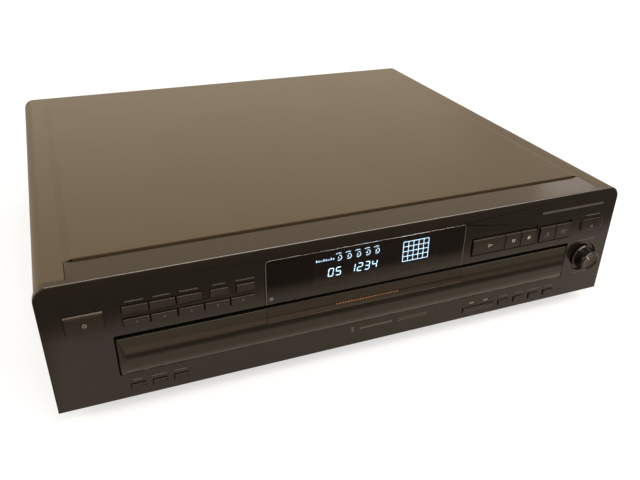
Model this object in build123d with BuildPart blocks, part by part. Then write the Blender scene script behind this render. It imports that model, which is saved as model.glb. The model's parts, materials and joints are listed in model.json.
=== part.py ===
"""Five-disc carousel player: a full-width hi-fi separate, built as separate pieces.

Millimetres. X runs to the right, Y to the back and Z up. The origin is on the ground under the
middle of the whole player. The drawer is closed, and the disc drive unit hangs lowered.
"""
import os
from math import acos, cos, pi, radians, sin, sqrt, tan

from build123d import *

os.makedirs("parts", exist_ok=True)

# Clearances
fit = 0.3                # between pieces that move apart
running = 0.05           # radial, between a shaft and its bore
sheet = 1.0              # folded sheet steel

# Overall size
panel_width = 430.0
panel_height = 94.0
body_depth = 378.7       # panel face to the back edge of the cover
dial_reach = 10.0        # jog dial in front of the panel face
jack_reach = 11.3        # line-out jacks behind the cover
foot_height = 13.0

overall_depth = dial_reach + body_depth + jack_reach
face_y = dial_reach - overall_depth / 2
back_y = face_y + body_depth
base_z = foot_height
top_z = base_z + panel_height
panel_half = panel_width / 2

# Front panel
panel_wall = 3.0
panel_rim = 5.0          # depth of the rim behind the face
rim_wall = 2.5
corner_radius = 10.0
edge_radius = 0.9
flange_depth = 26.0      # top flange, from the face
flange_shoulder = 20.0   # the flange stops this far from each side
wall_back = face_y + panel_wall

# Drawer opening in the panel
opening_half = 174.5
opening_low = base_z + 19.5
opening_high = base_z + 50.4

# Drawer front
front_side_gap = 1.0
front_low_gap = 1.0
front_high_gap = 2.4
front_bulge = 4.8
front_root = 4.0         # depth of the drawer front behind the panel face
strip_height = 9.5
strip_plate = 0.8

# Display window
window_half = 76.0
window_height = 34.3
window_plate = 2.1
window_proud = 0.6
window_corner = 2.5

# Cover
cover_overhang = 1.0     # the panel is wider than the cover by this on each side
cover_radius = 9.0
cover_low = base_z + 1.5
raised_height = 1.5
raised_bevel = 5.0
raised_back = 9.0        # the raised centre stops this far from the back edge
seam = 0.4               # gap between the panel's flange and the cover
cover_lip = 3.0          # folded front edge of the raised centre, below the flange's top

# Tray
tray_gap = 2.5           # side gap in the panel opening
rib_height = 3.0
tray_floor = 2.5
tray_wall = 2.0
tray_rim = 11.5
tray_rear = 165.0
tray_clip = 75.0         # corners cut off at the rear
slot_half = 46.0

# Carousel
disc_radius = 60.0
well_clearance = 1.0
well_pitch_radius = 105.0
table_edge = 2.0
wells = 5
table_plate = 2.5
small_well_radius = 41.0
small_well_depth = 1.6
well_depth = 3.0
table_y = -6.0
table_lift = 8.0         # table plate above the tray floor
gear_module = 2.0
ring_teeth = 160
drive_teeth = 20
gear_face = 3.0
axle_radius = 6.0

# Loading drive
rack_module = 1.5
pinion_teeth = 16
drawer_travel = 190.0
drive_y = -150.0
rack_x = 98.0
deck_z = base_z + 11.0
deck_plate = 2.5
pulley_radius = 16.0
motor_pulley_radius = 5.0
belt_size = 1.5
belt_span = 45.0

# Disc drive unit
hinge_y = 24.0
lift_angle = 11.5
unit_half = 40.0
turntable_top = 55.2     # with the unit raised
pickup_home = 23.0       # from the spindle
pickup_travel = 35.0
rod_radius = 1.5
pin_radius = 2.0

# Keys
key_travel = 0.8
key_gap = 1.0            # between neighbours in a row
key_flange = 1.0
key_reach = 1.2          # how far the cap's upper edge stands out
key_toe = 0.3            # how far its lower edge stands out

# Rear
jack_radius = 4.15
jack_core = 1.6
jack_spacing = 14.0
cord_radius = 3.2

front_low = opening_low + front_low_gap
front_high = opening_high - front_high_gap
front_half = opening_half - front_side_gap
front_back = face_y + front_root
strip_low = front_high - strip_height
cover_half = panel_half - cover_overhang
cover_front = face_y + panel_rim + fit
flange_half = panel_half - flange_shoulder
window_top = opening_high + window_height
rib_z = opening_low + 0.5
tray_z = rib_z + rib_height
tray_top = tray_z + tray_floor
tray_half = opening_half - tray_gap
rim_z = tray_z + tray_floor + tray_rim
well_radius = disc_radius + well_clearance
table_radius = well_pitch_radius + well_radius + table_edge
table_z = tray_top + table_lift
small_floor_z = table_z + table_plate
disc_floor_z = small_floor_z + small_well_depth
table_top = disc_floor_z + well_depth
spindle_y = table_y + well_pitch_radius
deck_top = deck_z + deck_plate
hinge_z = deck_top + pin_radius + 0.5
ring_radius = gear_module * ring_teeth / 2
drive_radius = gear_module * drive_teeth / 2
pinion_radius = rack_module * pinion_teeth / 2
pinion_x = rack_x - pinion_radius
motor_x = pinion_x - belt_span
key_back = wall_back + fit + key_flange
switch_front = key_back + key_travel + fit
board_front = switch_front + 2.2
board_back = board_front + 1.6
pan_top = base_z + sheet

face_plane = Plane.XZ.offset(-face_y)
cradle = Plane(
    origin=(0, hinge_y, hinge_z),
    x_dir=(1, 0, 0),
    z_dir=(0, sin(radians(lift_angle)), cos(radians(lift_angle))),
)


def block(x0, x1, y0, y1, z0, z1, mode=Mode.ADD):
    """Add or cut one block between two corners."""
    with Locations(((x0 + x1) / 2, (y0 + y1) / 2, (z0 + z1) / 2)):
        Box(x1 - x0, y1 - y0, z1 - z0, mode=mode)


def post(x, y, z0, z1, radius, mode=Mode.ADD):
    """Add or cut one upright round post."""
    with Locations((x, y, (z0 + z1) / 2)):
        Cylinder(radius, z1 - z0, mode=mode)


def front_rectangle(x0, x1, z0, z1, radius=0.0, mode=Mode.ADD):
    """Draw a rectangle seen from the front, with round corners if a radius is given."""
    with Locations(((x0 + x1) / 2, (z0 + z1) / 2)):
        if radius:
            RectangleRounded(x1 - x0, z1 - z0, radius, mode=mode)
        else:
            Rectangle(x1 - x0, z1 - z0, mode=mode)


def save(piece, name):
    """Label a finished piece and write it."""
    piece.part.label = name
    export_step(piece.part, f"parts/{name}.step")


def gear_points(teeth, module, turn=0.0, backlash=0.16, steps=3):
    """Points round a spur gear with involute flanks; a tooth is centred on the angle turn."""
    pitch_r = teeth * module / 2
    base_r = pitch_r * cos(radians(20))
    root_r = pitch_r - 1.2 * module
    tip_r = pitch_r + 0.9 * module
    half_pitch = pi / (2 * teeth) - backlash / (2 * pitch_r)

    def half_angle(radius):
        roll = acos(min(1.0, base_r / radius))
        return half_pitch + (tan(radians(20)) - radians(20)) - (tan(roll) - roll)

    low_r = max(base_r, root_r)
    radii = [low_r + (tip_r - low_r) * step / (steps - 1) for step in range(steps)]
    flank = [(radius, half_angle(radius)) for radius in radii]
    if root_r < base_r:
        flank.insert(0, (root_r, half_angle(base_r)))
    points = []
    for tooth in range(teeth):
        middle = radians(turn) + 2 * pi * tooth / teeth
        for radius, angle in flank:
            points.append((radius * cos(middle - angle), radius * sin(middle - angle)))
        for radius, angle in reversed(flank):
            points.append((radius * cos(middle + angle), radius * sin(middle + angle)))
    return points


def on_circle(radius, angle, centre_x=0.0, centre_y=0.0):
    """The point at an angle in degrees on a circle."""
    return (centre_x + radius * cos(radians(angle)), centre_y + radius * sin(radians(angle)))


# ---------------------------------------------------------------- keys
# Each row is one slot in the panel: names, left edge, key width, gap, lower edge and height.
small_key_width = 9.0
small_key_height = 4.6
small_key_pitch = 13.95
disc_key_width = 16.0
mode_key_width = 15.8
short_key_width = 11.9
rows_right = -83.3       # right end of the mode and disc keys
disc_row_left = rows_right - 5 * disc_key_width - 4 * key_gap

key_rows = [
    (["power_key"], 13.8 - panel_half, 23.0, key_gap, 58.5, 13.0),
    ([f"disc_key_{n + 1}" for n in range(5)], disc_row_left, disc_key_width, key_gap, 56.6, 5.6),
    ([f"mode_key_{n + 1}" for n in range(3)], disc_row_left, mode_key_width, key_gap, 66.0, 5.6),
    (["mode_key_4"], -112.5, short_key_width, key_gap, 66.0, 5.6),
    (["mode_key_5"], rows_right - short_key_width, short_key_width, key_gap, 66.0, 5.6),
    (["play_key"], 83.8, 27.9, key_gap, 57.3, 12.5),
    (["pause_key", "stop_key"], 112.4, 13.6, 0.7, 57.3, 12.5),
    (["exchange_key", "skip_key"], 144.1, 14.2, 0.7, 57.3, 12.5),
]
for n in range(3):
    key_rows.append(([f"small_key_{n + 1}"], -168.5 + n * small_key_pitch, small_key_width, key_gap, 6.2,
                     small_key_height))
for n in range(4):
    key_rows.append(([f"small_key_{n + 4}"], 115.8 + n * 14.45, small_key_width, key_gap, 5.1,
                     small_key_height))

rocker_left = 83.2
rocker_width = 27.3
rocker_low = base_z + 5.1
open_key_left = panel_half - 31.8
open_key_width = 21.0
open_key_low = base_z + 59.6
open_key_height = 10.0
open_key_corner = 2.5
cluster_recess = 1.2     # depth of the recess round the play keys

dial_x = panel_half - 22.4
dial_z = base_z + 34.8
dial_radius = 10.0
dial_face_radius = 8.2
dial_well_radius = 12.6
dial_well_depth = 1.6
dial_shaft_radius = 3.0


def key_cap(x0, width, low, height, reach):
    """A sprung key: a cap with a sloping face, and a flange that holds it behind the panel."""
    high = low + height
    bevel = 0.18 * height
    with BuildPart() as cap:
        with BuildSketch(Plane.YZ.offset(x0)):
            with BuildLine():
                Polyline(
                    (key_back, low - key_flange),
                    (key_back - key_flange, low - key_flange),
                    (key_back - key_flange, low),
                    (face_y - key_toe, low),
                    (face_y - reach, high - bevel),
                    (face_y - reach + 0.6 * bevel, high),
                    (key_back - key_flange, high),
                    (key_back - key_flange, high + key_flange),
                    (key_back, high + key_flange),
                    close=True,
                )
            make_face()
        extrude(amount=width)
    return cap


switch_places = []
for names, left, width, gap, low, height in key_rows:
    for number, name in enumerate(names):
        x0 = left + number * (width + gap)
        switch_places.append((x0 + width / 2, base_z + low + height / 2))
        save(key_cap(x0, width, base_z + low, height, key_reach), name)

# The open and close key has round corners and a flat face.
open_key_x = open_key_left + open_key_width / 2
open_key_z = open_key_low + open_key_height / 2
switch_places.append((open_key_x, open_key_z))
with BuildPart() as open_close_key:
    with BuildSketch(face_plane.offset(key_reach)):
        with Locations((open_key_x, open_key_z)):
            RectangleRounded(open_key_width, open_key_height, open_key_corner)
    extrude(amount=-(key_back - face_y + key_reach))
    chamfer(open_close_key.faces().sort_by(Axis.Y)[0].edges(), 0.5)
    block(open_key_left, open_key_left + open_key_width, key_back - key_flange, key_back,
          open_key_low - key_flange, open_key_low + open_key_height + key_flange)
save(open_close_key, "open_close_key")

# The search rocker tips about an upright pin through its middle, so its flange is short.
rocker_x = rocker_left + rocker_width / 2
rocker_high = rocker_low + small_key_height
rocker_axis_y = key_back - key_flange / 2
rocker_pin_radius = 0.7
flange_half_length = 4.0
with BuildPart() as search_rocker:
    add(key_cap(rocker_left, rocker_width, rocker_low, small_key_height, key_reach).part)
    post(rocker_x, rocker_axis_y, rocker_low - 2 * key_flange, rocker_high + 2 * key_flange, rocker_pin_radius)
    for side in (-1, 1):
        switch_places.append((rocker_x + side * rocker_width / 3, (rocker_low + rocker_high) / 2))
        cut_x = rocker_x + side * (flange_half_length + rocker_width / 2)
        for z in (rocker_low - key_flange / 2, rocker_high + key_flange / 2):
            block(cut_x - rocker_width / 2, cut_x + rocker_width / 2, key_back - 2 * key_flange, key_back + 1,
                  z - key_flange / 2, z + key_flange / 2, mode=Mode.SUBTRACT)
save(search_rocker, "search_rocker")

# ---------------------------------------------------------------- jog dial
# Local x runs out from the dial's axis, and local y towards the front.
dial_plane = Plane(origin=(dial_x, face_y, dial_z), x_dir=(1, 0, 0), z_dir=(0, 0, -1))
dial_axis = Axis((dial_x, face_y, dial_z), (0, -1, 0))
dial_seat = dial_well_depth - 0.4
with BuildPart() as jog_dial:
    with BuildSketch(dial_plane):
        with BuildLine():
            Polyline(
                (0, face_y + fit - switch_front),
                (dial_shaft_radius, face_y + fit - switch_front),
                (dial_shaft_radius, -dial_seat),
                (dial_radius, -dial_seat),
                (dial_radius, 0.6),
                (dial_radius - 0.7, 1.4),
                (dial_face_radius, dial_reach - 0.9),
                (dial_face_radius - 0.9, dial_reach),
                (0.55 * dial_face_radius, dial_reach - 0.5),
                (0, dial_reach - 0.8),
                close=True,
            )
        make_face()
    revolve(axis=dial_axis)
save(jog_dial, "jog_dial")

# ---------------------------------------------------------------- front panel
window_low = opening_high
aperture = (-42.0, 54.0, opening_high + 8.0, opening_high + 33.0)


def panel_outline(sketch, inset):
    """The panel's outline seen from the front, drawn in by inset."""
    with Locations((0, base_z + panel_height / 2)):
        Rectangle(panel_width - 2 * inset, panel_height - 2 * inset)
    fillet(sketch.vertices().group_by(Axis.Y)[-1], corner_radius - inset)


with BuildPart() as front_panel:
    with BuildSketch(face_plane) as outline:
        panel_outline(outline, 0)
    extrude(amount=-panel_rim)
    fillet(front_panel.faces().sort_by(Axis.Y)[0].edges(), edge_radius)
    with BuildSketch(face_plane.offset(-panel_wall)) as hollow:
        panel_outline(hollow, rim_wall)
    extrude(amount=-panel_rim, mode=Mode.SUBTRACT)
    block(-flange_half, flange_half, face_y + edge_radius + 0.5, face_y + flange_depth,
          top_z - rim_wall, top_z)
    # Recess round the play and exchange keys
    with BuildSketch(face_plane):
        front_rectangle(82.6, 141.4, base_z + 56.0, base_z + 72.2)
        front_rectangle(143.2, 173.6, base_z + 56.0, base_z + 72.2)
    extrude(amount=-cluster_recess, mode=Mode.SUBTRACT)
    # Window pocket, open to the drawer opening below
    with BuildSketch(face_plane):
        front_rectangle(-window_half - 0.1, window_half + 0.1, window_low - 2 * window_corner,
                        window_top + 0.1, window_corner)
    extrude(amount=-(window_plate - window_proud), mode=Mode.SUBTRACT)
    # Drawer opening, display aperture and key slots, all right through the wall
    with BuildSketch(face_plane):
        front_rectangle(-opening_half, opening_half, opening_low, opening_high)
        front_rectangle(*aperture)
        for names, left, width, gap, low, height in key_rows:
            right = left + len(names) * (width + gap) - gap
            front_rectangle(left - fit, right + fit, base_z + low - fit, base_z + low + height + fit)
        front_rectangle(rocker_left - 2 * fit, rocker_left + rocker_width + 2 * fit, rocker_low - fit,
                        rocker_low + small_key_height + fit)
        front_rectangle(open_key_left - fit, open_key_left + open_key_width + fit, open_key_low - fit,
                        open_key_low + open_key_height + fit, open_key_corner + fit)
        with Locations((dial_x, dial_z)):
            Circle(dial_shaft_radius + fit)
    extrude(amount=-panel_wall, mode=Mode.SUBTRACT)
    # Dished well round the jog dial
    with BuildSketch(face_plane):
        with Locations((dial_x, dial_z)):
            Circle(dial_well_radius)
    extrude(amount=-dial_well_depth, taper=20, mode=Mode.SUBTRACT)
    # Posts that the circuit board is screwed to
    for x, z in [(panel_half - 9, top_z - 9), (window_half + 4, top_z - 7), (panel_half - 9, base_z + 11),
                 (9 - panel_half, top_z - 9), (-window_half - 4, top_z - 7), (9 - panel_half, base_z + 11)]:
        with BuildSketch(Plane.XZ.offset(-wall_back)):
            with Locations((x, z)):
                Circle(2.5)
        extrude(amount=-(board_front - wall_back))
save(front_panel, "front_panel")

with BuildPart() as display_window:
    with BuildSketch(face_plane.offset(window_proud)) as plate:
        front_rectangle(-window_half, window_half, window_low, window_top)
        fillet(plate.vertices().group_by(Axis.Y)[-1], window_corner)
    extrude(amount=-window_plate)
    chamfer(display_window.faces().sort_by(Axis.Y)[0].edges(), 0.35)
save(display_window, "display_window")

with BuildPart() as display_tube:
    block(aperture[0] - 6, aperture[1] + 6, wall_back, board_front, aperture[2] - 3, aperture[3] + 2)
save(display_tube, "display_tube")

# ---------------------------------------------------------------- drawer front and its strip


def bulge_profile(x, inset):
    """Side view of the drawer front at x: the face bulges, and is drawn in by inset."""
    crest = (face_y - front_bulge + inset, front_low + 9.0)
    with BuildSketch(Plane.YZ.offset(x)) as profile:
        with BuildLine():
            upper = TangentArc(crest, (face_y - 0.6 + inset, front_high), tangent=(0, 1))
            lower = TangentArc(crest, (face_y - 1.4 + inset, front_low), tangent=(0, -1))
            Polyline(lower @ 1, (front_back, front_low), (front_back, front_high), upper @ 1)
        make_face()
    return profile.sketch


def inlay(half, low, outer, depth):
    """A curved plate that follows the drawer front's face."""
    with BuildPart() as plate:
        extrude(bulge_profile(-half, -outer), amount=2 * half)
        extrude(bulge_profile(-half - 1, depth), amount=2 * half + 2, mode=Mode.SUBTRACT)
        block(-half - 1, half + 1, face_y - 20, front_back + 1, front_low - 1, low, mode=Mode.SUBTRACT)
    return plate


strip_pocket = inlay(window_half + 0.1, strip_low - 0.1, 1.0, strip_plate + 0.1)
with BuildPart() as drawer_front:
    extrude(bulge_profile(-front_half, 0), amount=2 * front_half)
    for side in (-1, 1):
        with BuildSketch(Plane.XY.offset(front_low - 1)):
            Polygon(
                (side * front_half, face_y - 0.3),
                (side * (front_half + 20), face_y - 0.3),
                (side * (front_half + 20), face_y - 20.3),
                (side * (front_half - 20), face_y - 20.3),
                align=None,
            )
        extrude(amount=front_high - front_low + 2, mode=Mode.SUBTRACT)
    add(strip_pocket.part, mode=Mode.SUBTRACT)
save(drawer_front, "drawer_front")

drawer_window_strip = inlay(window_half, strip_low, 0, strip_plate)
save(drawer_window_strip, "drawer_window_strip")

# ---------------------------------------------------------------- drawer tray
# The drive gear meshes with the table's ring at the front left corner of the tray.
mesh_angle = 225.0
drive_centre = on_circle(ring_radius + drive_radius + 0.1, mesh_angle, 0, table_y)
shelf_post = on_circle(ring_radius + drive_radius + 27, mesh_angle, 0, table_y)
shelf_z = table_z + 0.1
shelf_plate = 2.0
shelf_radius = 9.5
track_radius = 140.0
slot_front = table_y + 18.0
rack_front = drive_y - 10.0
rack_rear = drive_y + drawer_travel + 12.0
runner_x = tray_half - 8.0


def tray_outline(z, inset):
    """Plan of the tray: square at the front, with its rear corners cut off."""
    half = tray_half - inset
    front = front_back + inset
    rear = tray_rear - inset
    clip = tray_clip - inset * (2 - sqrt(2))
    with BuildSketch(Plane.XY.offset(z)) as plan:
        with BuildLine():
            Polyline(
                (-half, front), (half, front), (half, rear - clip), (half - clip, rear),
                (clip - half, rear), (-half, rear - clip), close=True,
            )
        make_face()
    return plan.sketch


with BuildPart() as drawer_tray:
    extrude(tray_outline(tray_z, 0), amount=tray_floor + tray_rim)
    extrude(tray_outline(tray_top, tray_wall), amount=tray_rim, mode=Mode.SUBTRACT)
    # Track that the table turns on
    with BuildSketch(Plane.XY.offset(tray_top)):
        with Locations((0, table_y)):
            Circle(track_radius)
            Circle(track_radius - 2, mode=Mode.SUBTRACT)
    extrude(amount=table_lift - fit)
    # Runners under the floor, and the rack that the pinion drives
    for side in (-1, 1):
        block(side * runner_x - 2, side * runner_x + 2, front_back, tray_rear - tray_clip, rib_z, tray_z)
    tooth = pi * rack_module
    rack_teeth = int((rack_rear - rack_front) / tooth)
    tooth_root = rack_x + 1.2 * rack_module
    tooth_tip = rack_x - 0.9 * rack_module
    slope = tan(radians(20))
    half = tooth / 4 - 0.08
    rack_points = [(tooth_root + 4, rack_front), (tooth_root, rack_front)]
    first_tooth = drive_y + tooth / 2 - tooth * int((drive_y - rack_front) / tooth)
    for number in range(rack_teeth):
        y = first_tooth + number * tooth
        rack_points += [
            (tooth_root, y - half - 1.2 * rack_module * slope),
            (tooth_tip, y - half + 0.9 * rack_module * slope),
            (tooth_tip, y + half - 0.9 * rack_module * slope),
            (tooth_root, y + half + 1.2 * rack_module * slope),
        ]
    rack_points += [(tooth_root, rack_rear), (tooth_root + 4, rack_rear)]
    with BuildSketch(Plane.XY.offset(rib_z)):
        with BuildLine():
            Polyline(*rack_points, close=True)
        make_face()
    extrude(amount=rib_height)
    # Slot that the disc drive unit rises through, open to the rear
    block(-slot_half, slot_half, slot_front, tray_rear + 1, rib_z - 1, rim_z + 1, mode=Mode.SUBTRACT)
    post(0, table_y, tray_top, table_top - 2, axle_radius)
    # Shelf for the table motor, above the drive gear
    with BuildSketch(Plane.XY.offset(shelf_z)):
        with Locations(drive_centre, shelf_post):
            Circle(shelf_radius)
        make_hull()
    extrude(amount=shelf_plate)
    post(*shelf_post, tray_top, shelf_z, 4)
    post(*drive_centre, tray_z - 1, table_top + 10, 1 + 2 * running, mode=Mode.SUBTRACT)
save(drawer_tray, "drawer_tray")

with BuildPart() as table_motor:
    post(*drive_centre, shelf_z + shelf_plate, shelf_z + shelf_plate + 11.5, shelf_radius)
    chamfer(table_motor.faces().sort_by(Axis.Z)[-1].edges(), 1.0)
    post(*drive_centre, shelf_z + shelf_plate + 11.5, shelf_z + shelf_plate + 12.3, 2.5)
    post(*drive_centre, shelf_z, shelf_z + shelf_plate + 3, 1 + running, mode=Mode.SUBTRACT)
save(table_motor, "table_motor")

with BuildPart() as table_drive_gear:
    gap_turn = mesh_angle + 180 + 180 / drive_teeth
    with BuildSketch(Plane.XY.offset(table_z - gear_face)):
        with BuildLine():
            Polyline(*gear_points(drive_teeth, gear_module, gap_turn), close=True)
        make_face()
    extrude(amount=gear_face - fit)
drive_moved = table_drive_gear.part.moved(Location((*drive_centre, 0)))
with BuildPart() as table_drive_gear:
    add(drive_moved)
    post(*drive_centre, tray_top + fit, table_z - gear_face, 4.5)
    post(*drive_centre, tray_z + 0.2, shelf_z + shelf_plate + 2.5, 1)
save(table_drive_gear, "table_drive_gear")

# ---------------------------------------------------------------- carousel table
hub_radius = 20.0
turntable_hole = 18.0
pickup_slot = 12.0
pickup_slot_inner = 38.0

with BuildPart() as carousel_table:
    with BuildSketch(Plane.XY.offset(table_z)):
        with Locations((0, table_y)):
            Circle(table_radius)
    extrude(amount=table_top - table_z)
    chamfer(carousel_table.edges().group_by(Axis.Z)[-1], 0.8)
    # Wells for full-size and small discs, and the openings that the drive unit reaches through
    well_angles = [90 + 360 / wells * number for number in range(wells)]
    well_centres = [on_circle(well_pitch_radius, angle, 0, table_y) for angle in well_angles]
    with BuildSketch(Plane.XY.offset(disc_floor_z)):
        with Locations(*well_centres):
            Circle(well_radius)
    extrude(amount=well_depth, mode=Mode.SUBTRACT)
    with BuildSketch(Plane.XY.offset(small_floor_z)):
        with Locations(*well_centres):
            Circle(small_well_radius)
    extrude(amount=small_well_depth, mode=Mode.SUBTRACT)
    with BuildSketch(Plane.XY.offset(table_z)):
        with Locations(*well_centres):
            Circle(turntable_hole)
        slot_length = well_pitch_radius - pickup_slot_inner
        slot_radius = pickup_slot_inner + slot_length / 2
        for angle in well_angles:
            with Locations(Location((*on_circle(slot_radius, angle, 0, table_y), 0), (0, 0, angle))):
                Rectangle(slot_length, 2 * pickup_slot)
    extrude(amount=table_top - table_z, mode=Mode.SUBTRACT)
    # Toothed ring under the rim, and the hub that turns on the tray's axle
    with BuildSketch(Plane.XY.offset(table_z - gear_face)) as ring:
        with BuildLine():
            Polyline(*gear_points(ring_teeth, gear_module, mesh_angle, steps=2), close=True)
        make_face()
        Circle(ring_radius - 6, mode=Mode.SUBTRACT)
    ring_face = ring.sketch.moved(Location((0, table_y, 0)))
with BuildPart() as carousel_whole:
    add(carousel_table.part)
    extrude(ring_face, amount=gear_face, dir=(0, 0, 1))
    post(0, table_y, tray_top + fit, table_z, hub_radius)
    post(0, table_y, tray_top, table_top - 1.5, axle_radius + running, mode=Mode.SUBTRACT)
save(carousel_whole, "carousel_table")

# ---------------------------------------------------------------- chassis, rear panel and feet
pan_half = cover_half - sheet - 0.5
rear_y = back_y - 1.7
foot_x = panel_half - 50.0
foot_places = [(x, y) for x in (-foot_x, foot_x) for y in (-145, 145)]
board_right = panel_half - 9.0
board_left = board_right - 144.0
board_posts = [(x, y) for x in (board_left + 8, board_right - 8) for y in (124, 176)]
main_board_z = pan_top + 5.0

with BuildPart() as chassis:
    with BuildSketch(Plane.XZ.offset(-cover_front)):
        with BuildLine():
            Polyline(
                (-pan_half, base_z), (pan_half, base_z), (pan_half, base_z + 27),
                (pan_half - sheet, base_z + 27), (pan_half - sheet, pan_top),
                (sheet - pan_half, pan_top), (sheet - pan_half, base_z + 27),
                (-pan_half, base_z + 27), close=True,
            )
        make_face()
    extrude(amount=-(rear_y - cover_front))
    block(-pan_half, pan_half, cover_front, cover_front + sheet, base_z, base_z + 3.5)
    block(-pan_half, pan_half, rear_y - sheet, rear_y, base_z, pan_top + 6)
    for x, y in board_posts:
        post(x, y, pan_top, main_board_z, 3)
    # Stiffening dimples over the feet and vent slots under the transformer
    for x, y in foot_places:
        post(x, y, pan_top, pan_top + 1.2, 9)
        post(x, y, base_z - 0.1, pan_top + 0.2, 1.6, mode=Mode.SUBTRACT)
save(chassis, "chassis")

rear_half = cover_half - sheet - fit
rear_top = top_z - sheet - fit
jack_z = main_board_z + 15.0
jack_places = [(board_left + 64 + jack_spacing * number, jack_z) for number in range(2)]
optical_x = board_left + 34.0
optical_z = main_board_z + 9.0
optical_half = 6.0
cord_x = 93.0 - panel_half
cord_z = base_z + 22.0

with BuildPart() as rear_panel:
    with BuildSketch(Plane.XZ.offset(-rear_y)) as rear_outline:
        front_rectangle(-rear_half, rear_half, base_z + 1.3, rear_top)
        fillet(rear_outline.vertices().group_by(Axis.Y)[-1], cover_radius - sheet)
        with Locations(*jack_places):
            Circle(6.3, mode=Mode.SUBTRACT)
        with Locations((cord_x, cord_z)):
            Circle(6.7, mode=Mode.SUBTRACT)
        with Locations((optical_x, optical_z)):
            Rectangle(2 * optical_half + 0.6, 2 * optical_half + 0.6, mode=Mode.SUBTRACT)
        # Vent slots above the transformer
        with Locations(*[(15 - panel_half + 8 * number, base_z + 60) for number in range(8)]):
            Rectangle(3.4, 34, mode=Mode.SUBTRACT)
    extrude(amount=-sheet)
    block(-rear_half + 12, rear_half - 12, rear_y - 11, rear_y, rear_top - sheet, rear_top)
save(rear_panel, "rear_panel")

with BuildPart() as feet:
    with BuildSketch(Plane.XZ):
        with BuildLine():
            Polyline(
                (1.6, 4.0), (12.5, 4.0), (12.5, 1.6), (18.5, 1.6), (19.5, 2.6),
                (21.5, foot_height - 1), (21.5, foot_height), (1.6, foot_height), close=True,
            )
        make_face()
    revolve(axis=Axis.Z)
one_foot = feet.part
with BuildPart() as feet:
    with Locations(*foot_places):
        add(one_foot)
save(feet, "feet")

with BuildPart() as foot_pads:
    for x, y in foot_places:
        post(x, y, 0, 4.0, 12.2)
save(foot_pads, "foot_pads")

# ---------------------------------------------------------------- cover


def cover_outline(sketch, inset):
    """The cover's section seen from the front, drawn in by its sheet."""
    front_rectangle(inset - cover_half, cover_half - inset, cover_low, top_z - inset)
    fillet(sketch.vertices().group_by(Axis.Y)[-1], cover_radius - inset)


def raised_centre(drop):
    """The raised middle of the cover: a block with bevelled sides and rear."""
    front = face_y - 20
    rear = back_y - raised_back
    with BuildPart() as centre:
        for level, inset in ((0, 0), (raised_height, raised_bevel)):
            with BuildSketch(Plane.XY.offset(top_z - drop + level)):
                with Locations((0, (front + rear - inset) / 2)):
                    Rectangle(2 * (flange_half - inset), rear - inset - front)
        loft()
    return centre.part


with BuildPart() as top_cover:
    with BuildSketch(Plane.XZ.offset(-cover_front)) as cover_section:
        cover_outline(cover_section, 0)
    extrude(amount=-(back_y - cover_front))
    add(raised_centre(0))
    with BuildSketch(Plane.XZ.offset(-cover_front + 1)) as cover_hollow:
        cover_outline(cover_hollow, sheet)
    extrude(amount=-(back_y - cover_front + 2), mode=Mode.SUBTRACT)
    add(raised_centre(sheet), mode=Mode.SUBTRACT)
    # Notch for the front panel's top flange
    block(-flange_half - fit, flange_half + fit, face_y - 30, face_y + flange_depth + seam,
          top_z - 2 * sheet, top_z + 2 * raised_height, mode=Mode.SUBTRACT)
    # Folded front edge of the raised centre, behind the flange
    lip_half = flange_half - raised_bevel
    lip_front = face_y + flange_depth + seam
    block(-lip_half, lip_half, lip_front, lip_front + sheet, top_z - cover_lip, top_z + raised_height)
save(top_cover, "top_cover")

screw_places = [(65 - panel_half, rear_top - 8), (0, rear_top - 8), (panel_half - 65, rear_top - 8),
                (10 - panel_half, base_z + 8), (-40, base_z + 6.5), (panel_half - 10, base_z + 8)]
with BuildPart() as case_screws:
    for x, z in screw_places:
        with BuildSketch(Plane.XZ.offset(-rear_y - sheet)):
            with Locations((x, z)):
                Circle(3.4)
        extrude(amount=-1.9)
        chamfer(case_screws.edges().group_by(Axis.Y)[-1], 0.7)
save(case_screws, "case_screws")

# ---------------------------------------------------------------- front circuit board
with BuildPart() as front_circuit_board:
    with BuildSketch(Plane.XZ.offset(-board_front)):
        front_rectangle(6 - panel_half, panel_half - 6, base_z + 4, top_z - 4)
        front_rectangle(-opening_half - 2, opening_half + 2, opening_low - 1.5, opening_high + 1.6,
                        mode=Mode.SUBTRACT)
    extrude(amount=-(board_back - board_front))
    # A switch behind each key, and the encoder behind the jog dial
    for x, z in switch_places:
        block(x - 2.4, x + 2.4, switch_front, board_front, z - 2.2, z + 2.2)
    with BuildSketch(Plane.XZ.offset(-switch_front)):
        with Locations((dial_x, dial_z)):
            Circle(5.5)
    extrude(amount=-(board_front - switch_front))
save(front_circuit_board, "front_circuit_board")

# ---------------------------------------------------------------- mechanism deck
rail_wall = 3.0
rail_inner = tray_half + 0.5
rail_outer = rail_inner + rail_wall
deck_front = board_back + 2.8
deck_rear = spindle_y + 1.0
unit_gap = 1.2
ear_wall = 4.5
ear_inner = unit_half + unit_gap + fit
tab_places = [-165.0, -112.0]
leg_places = [(x, y) for x in (-150, 150) for y in (-165, -50, 80)] + [(20, -165), (-20, -40), (20, -40)]

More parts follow.
